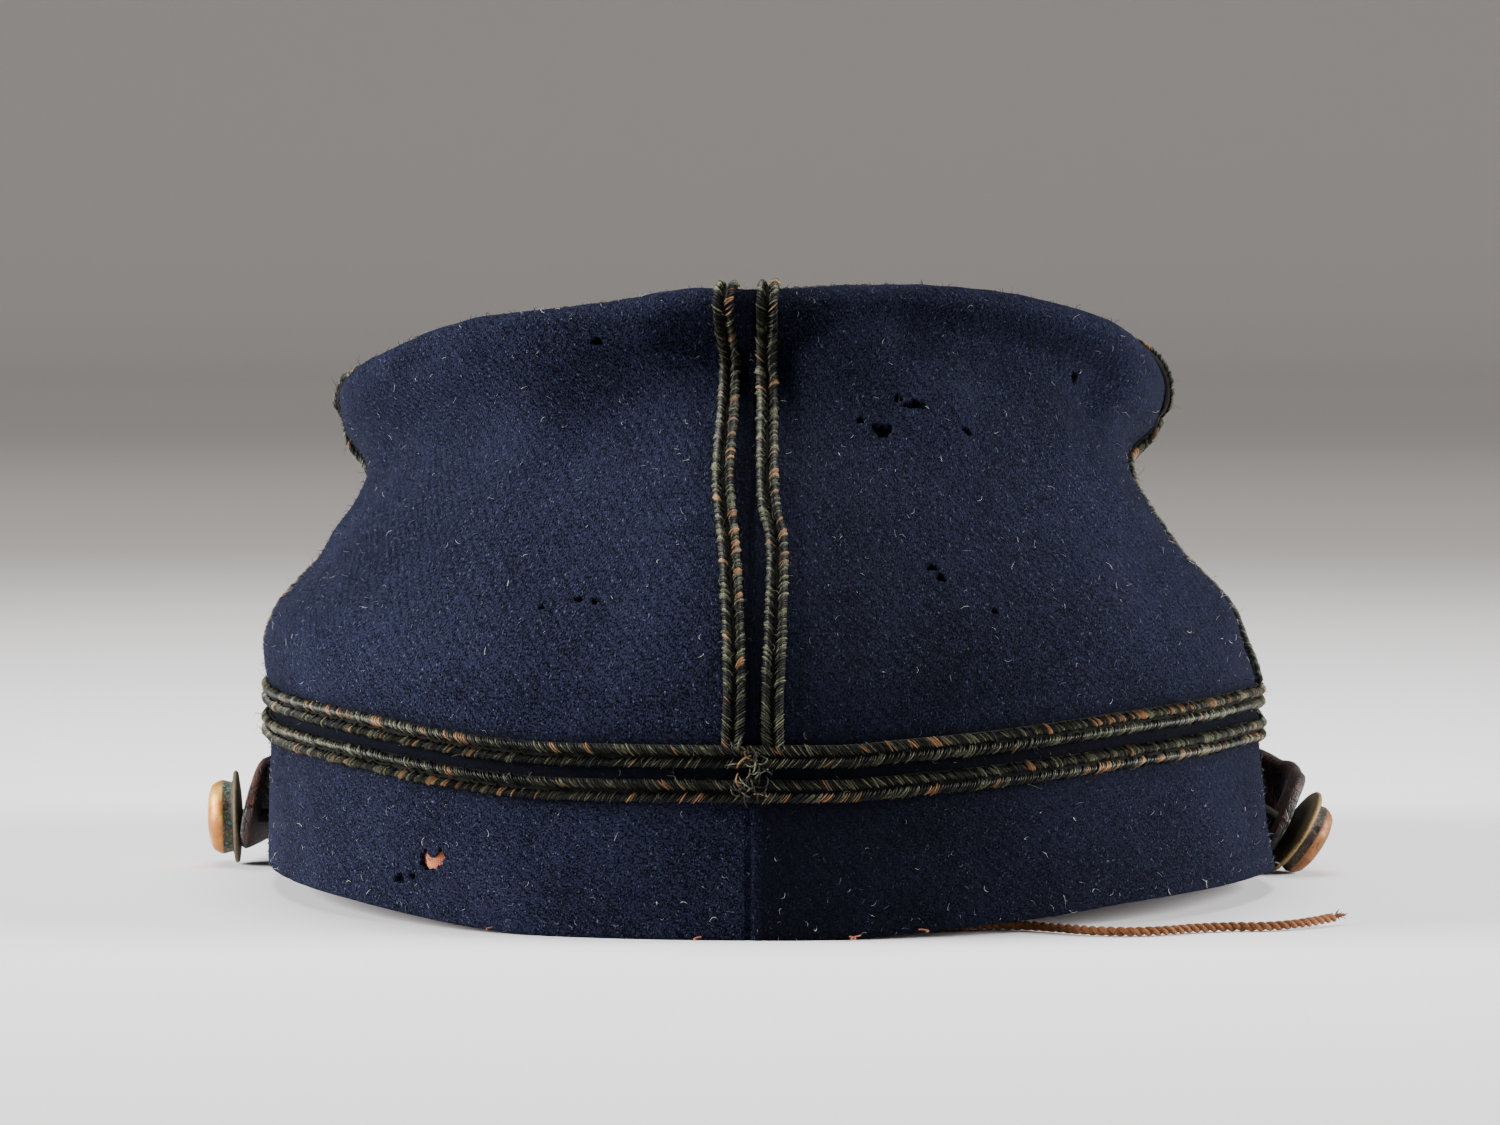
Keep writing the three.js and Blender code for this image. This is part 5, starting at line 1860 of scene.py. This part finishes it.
def area_light(name, place, size, power):
    lamp = bpy.data.lights.new(name, "AREA")
    lamp.shape = "RECTANGLE"
    lamp.size, lamp.size_y = size
    lamp.energy = power
    piece = bpy.data.objects.new(name, lamp)
    bpy.context.scene.collection.objects.link(piece)
    piece.location = place
    way = Vector((0, 0, 0.04)) - piece.location
    piece.rotation_euler = way.to_track_quat("-Z", "Y").to_euler()
    piece.visible_camera = False
    return piece


def build_stage():
    look = bpy.context.scene.kepi_stage
    turns = np.arange(FLOOR_SIDES) * 2 * math.pi / FLOOR_SIDES
    flat = np.linspace(0.02, FLOOR_RADIUS, 24)
    bend = np.linspace(0, math.pi / 2, 16)[1:]
    radius = np.concatenate([flat, FLOOR_RADIUS + SWEEP_RADIUS * np.sin(bend)])
    height = np.concatenate([0 * flat, SWEEP_RADIUS * (1 - np.cos(bend))])
    out = radius[:, None]
    up = np.broadcast_to(height[:, None], (len(radius), FLOOR_SIDES))
    rows = np.stack([out * np.cos(turns), out * np.sin(turns), up], -1)
    faces = [tuple(map(int, reversed(f))) for f in grid_faces(len(radius), FLOOR_SIDES, True)]
    faces.append(tuple(range(FLOOR_SIDES)))
    floor = mesh_piece("floor", rows.reshape(-1, 3), faces)
    floor.data.materials.append(floor_finish())
    lights = [
        area_light("light_left", (1.9, 0.25, 0.65), (0.9, 0.9), look.side_power),
        area_light("light_right", (-1.9, 0.1, 0.65), (0.9, 0.9), look.side_power * 0.8),
        area_light("light_top", (0.05, -0.4, 2.1), (1.6, 1.4), look.top_power),
    ]
    world = bpy.data.worlds.new("room")
    world.use_nodes = True
    shade = world.node_tree.nodes["Background"]
    shade.inputs[0].default_value = (0.62, 0.61, 0.6, 1)
    shade.inputs[1].default_value = look.room
    bpy.context.scene.world = world
    lens = bpy.data.cameras.new("camera")
    lens.sensor_width = 36
    lens.lens = look.lens
    lens.clip_start = 0.05
    camera = bpy.data.objects.new("camera", lens)
    bpy.context.scene.collection.objects.link(camera)
    camera.location = look.camera_place
    way = Vector(look.camera_target) - camera.location
    camera.rotation_euler = way.to_track_quat("-Z", "Y").to_euler()
    bpy.context.scene.camera = camera


# What a user may change


def length_setting(name, description, default):
    return FloatProperty(
        name=name, description=description, default=default, min=0, unit="LENGTH", precision=5
    )


def colour_setting(name, description, code):
    return FloatVectorProperty(
        name=name,
        description=description,
        default=linear(code),
        subtype="COLOR",
        size=3,
        min=0,
        max=1,
    )


class KepiWool(bpy.types.PropertyGroup):
    """The navy cloth."""

    colour: colour_setting("Colour", "The nap where it catches light", "222438")
    shade: colour_setting("Shade", "The wool down in the nap", "030407")
    fleck: colour_setting("Fleck", "Specks and dust in the nap", "565d75")
    sheen: FloatProperty(
        name="Sheen", description="Soft light on the nap", default=0.02, min=0, max=1
    )


class KepiBraid(bpy.types.PropertyGroup):
    """The mohair braid."""

    dark: colour_setting("Dark", "The darkest plies", "060705")
    olive: colour_setting("Olive", "The faded plies", "24251a")
    light: colour_setting("Light", "Single fibres that catch light", "7c7c60")
    worn: colour_setting("Worn", "Plies with their dye gone", "8d6947")
    uneven: FloatProperty(
        name="Uneven", description="How much the plies differ", default=0.22, min=0, max=0.6
    )


class KepiLeather(bpy.types.PropertyGroup):
    """The peak and the chin strap."""

    black: colour_setting("Black", "The grain side", "15120f")
    grey: colour_setting("Grey", "The grain side where it is dry", "38332d")
    red: colour_setting("Red", "Bare leather", "5e2c1b")


class KepiLining(bpy.types.PropertyGroup):
    """The salmon cotton."""

    colour: colour_setting("Colour", "Clean cotton", "d98e6c")
    shade: colour_setting("Shade", "Soiled cotton", "a8623f")


class KepiFibres(bpy.types.PropertyGroup):
    """Loose fibres, by how many to a square metre."""

    nap: FloatProperty(name="Nap", description="Short hairs", default=5.5e5, min=0)
    nap_length: length_setting("Nap length", "Length of the short hairs", 0.7 * MM)
    lint: FloatProperty(name="Lint", description="Curly fibres", default=95000, min=0)
    lint_length: length_setting("Lint length", "Length of the curly fibres", 1.0 * MM)
    fuzz: FloatProperty(name="Fuzz", description="Hairs on the braid", default=1.2e5, min=0)
    fuzz_length: length_setting("Fuzz length", "Length of the hairs on the braid", 1.4 * MM)


class KepiStage(bpy.types.PropertyGroup):
    """The floor, the light and the camera."""

    # The near and far floor colours paint a pool of light round the cap that fades out.
    floor_near_painted_light: colour_setting("Floor near", "The floor round the cap", "f1eff0")
    floor_far_painted_shade: colour_setting("Floor far", "The floor far off", "7a7673")
    backdrop: colour_setting("Backdrop", "Where the floor turns up", "a5a09c")
    side_power: FloatProperty(
        name="Side lights", description="Their power", default=145, min=0, subtype="POWER"
    )
    top_power: FloatProperty(
        name="Top light", description="Its power", default=59, min=0, subtype="POWER"
    )
    room: FloatProperty(name="Room", description="Light from all round", default=0.16, min=0)
    lens: FloatProperty(name="Lens", description="Focal length in mm", default=163.6, min=1)
    camera_place: FloatVectorProperty(
        name="Camera", description="Where it stands", default=(-0.029, 1.1251, 0.115), unit="LENGTH"
    )
    camera_target: FloatVectorProperty(
        name="Looks at", description="The middle of the view", default=(0.0024, 0.0205, 0.0509),
        unit="LENGTH",
    )


SETTINGS = {
    "kepi_wool": KepiWool,
    "kepi_braid": KepiBraid,
    "kepi_leather": KepiLeather,
    "kepi_lining": KepiLining,
    "kepi_fibres": KepiFibres,
    "kepi_stage": KepiStage,
}


# Steps


# Each button's colours on its face, its cap's side and its flange, and how far its edges are rubbed
BRASS_COLOURS = {
    "button_left": (
        ("c99a45", "a86a35", "5b5a40"),
        ("5a3a22", "2c211a", "3f7d6c"),
        ("141813", "232821", "40493f"),
        0.12,
    ),
    "button_right": (
        ("8a5c3c", "5e3a26", "33241c"),
        ("1c1712", "30261b", "54462f"),
        ("1b1911", "2e2a1d", "4c4733"),
        0.35,
    ),
}


class KEPI_OT_finishes(bpy.types.Operator):
    """Makes the cap's materials"""

    bl_idname = "kepi.finishes"
    bl_label = "Finishes"

    def execute(self, context):
        wool()
        braid_fibre()
        leather()
        cotton()
        twine()
        for name, (face, side, flange, rubbed) in BRASS_COLOURS.items():
            brass(name, face, side, flange, rubbed)
        hairs("nap_hair", "06070c", "2a3048")
        hairs("lint", "5a6072", "ded9cc")
        hairs("fuzz", "0e0f0b", "6b6d5a")
        return {"FINISHED"}


class KEPI_OT_cloth(bpy.types.Operator):
    """Makes the band, the crown and the tip"""

    bl_idname = "kepi.cloth"
    bl_label = "Cloth"

    def execute(self, context):
        build_band()
        build_crown()
        build_tip()
        return {"FINISHED"}


class KEPI_OT_lining(bpy.types.Operator):
    """Makes the cotton lining of the band"""

    bl_idname = "kepi.lining"
    bl_label = "Lining"

    def execute(self, context):
        build_lining()
        return {"FINISHED"}


class KEPI_OT_braid(bpy.types.Operator):
    """Makes the rows of braid"""

    bl_idname = "kepi.braid"
    bl_label = "Braid"

    def execute(self, context):
        build_braid()
        return {"FINISHED"}


class KEPI_OT_peak(bpy.types.Operator):
    """Makes the leather peak"""

    bl_idname = "kepi.peak"
    bl_label = "Peak"

    def execute(self, context):
        build_peak()
        return {"FINISHED"}


class KEPI_OT_strap(bpy.types.Operator):
    """Makes the chin strap"""

    bl_idname = "kepi.strap"
    bl_label = "Chin strap"

    def execute(self, context):
        build_strap()
        return {"FINISHED"}


class KEPI_OT_buttons(bpy.types.Operator):
    """Makes the two brass buttons"""

    bl_idname = "kepi.buttons"
    bl_label = "Buttons"

    def execute(self, context):
        build_buttons()
        return {"FINISHED"}


class KEPI_OT_drawstring(bpy.types.Operator):
    """Makes the loose end of the drawstring"""

    bl_idname = "kepi.drawstring"
    bl_label = "Drawstring"

    def execute(self, context):
        build_drawstring()
        return {"FINISHED"}


class KEPI_OT_fibres(bpy.types.Operator):
    """Makes the nap and the lint"""

    bl_idname = "kepi.fibres"
    bl_label = "Nap and lint"

    def execute(self, context):
        build_nap()
        return {"FINISHED"}


class KEPI_OT_fuzz(bpy.types.Operator):
    """Makes the hairs on the braid, its tucked ends and the loose threads"""

    bl_idname = "kepi.fuzz"
    bl_label = "Fuzz and loose ends"

    def execute(self, context):
        build_fuzz()
        build_ends()
        return {"FINISHED"}


class KEPI_OT_stage(bpy.types.Operator):
    """Makes the floor, the lights and the camera"""

    bl_idname = "kepi.stage"
    bl_label = "Stage"

    def execute(self, context):
        build_stage()
        return {"FINISHED"}


STEPS = (
    KEPI_OT_finishes,
    KEPI_OT_cloth,
    KEPI_OT_lining,
    KEPI_OT_braid,
    KEPI_OT_peak,
    KEPI_OT_strap,
    KEPI_OT_buttons,
    KEPI_OT_drawstring,
    KEPI_OT_fibres,
    KEPI_OT_fuzz,
    KEPI_OT_stage,
)


class KEPI_PT_panel(bpy.types.Panel):
    """Lists the steps and what a user may change"""

    bl_idname = "KEPI_PT_panel"
    bl_label = "Kepi"
    bl_space_type = "VIEW_3D"
    bl_region_type = "UI"
    bl_category = "Kepi"

    def draw(self, context):
        for step in STEPS:
            self.layout.operator(step.bl_idname)
        for name, group in SETTINGS.items():
            box = self.layout.box()
            box.label(text=group.__doc__)
            for setting in group.__annotations__:
                box.prop(getattr(context.scene, name), setting)


def register():
    for name, group in SETTINGS.items():
        bpy.utils.register_class(group)
        setattr(bpy.types.Scene, name, bpy.props.PointerProperty(type=group))
    for cls in (*STEPS, KEPI_PT_panel):
        bpy.utils.register_class(cls)


def unregister():
    for cls in reversed((*STEPS, KEPI_PT_panel)):
        bpy.utils.unregister_class(cls)
    for name, group in reversed(SETTINGS.items()):
        delattr(bpy.types.Scene, name)
        bpy.utils.unregister_class(group)


def main():
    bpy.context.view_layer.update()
    register()
    for step in STEPS:
        getattr(bpy.ops.kepi, step.bl_idname.split(".")[1])()


if __name__ == "__main__":
    main()
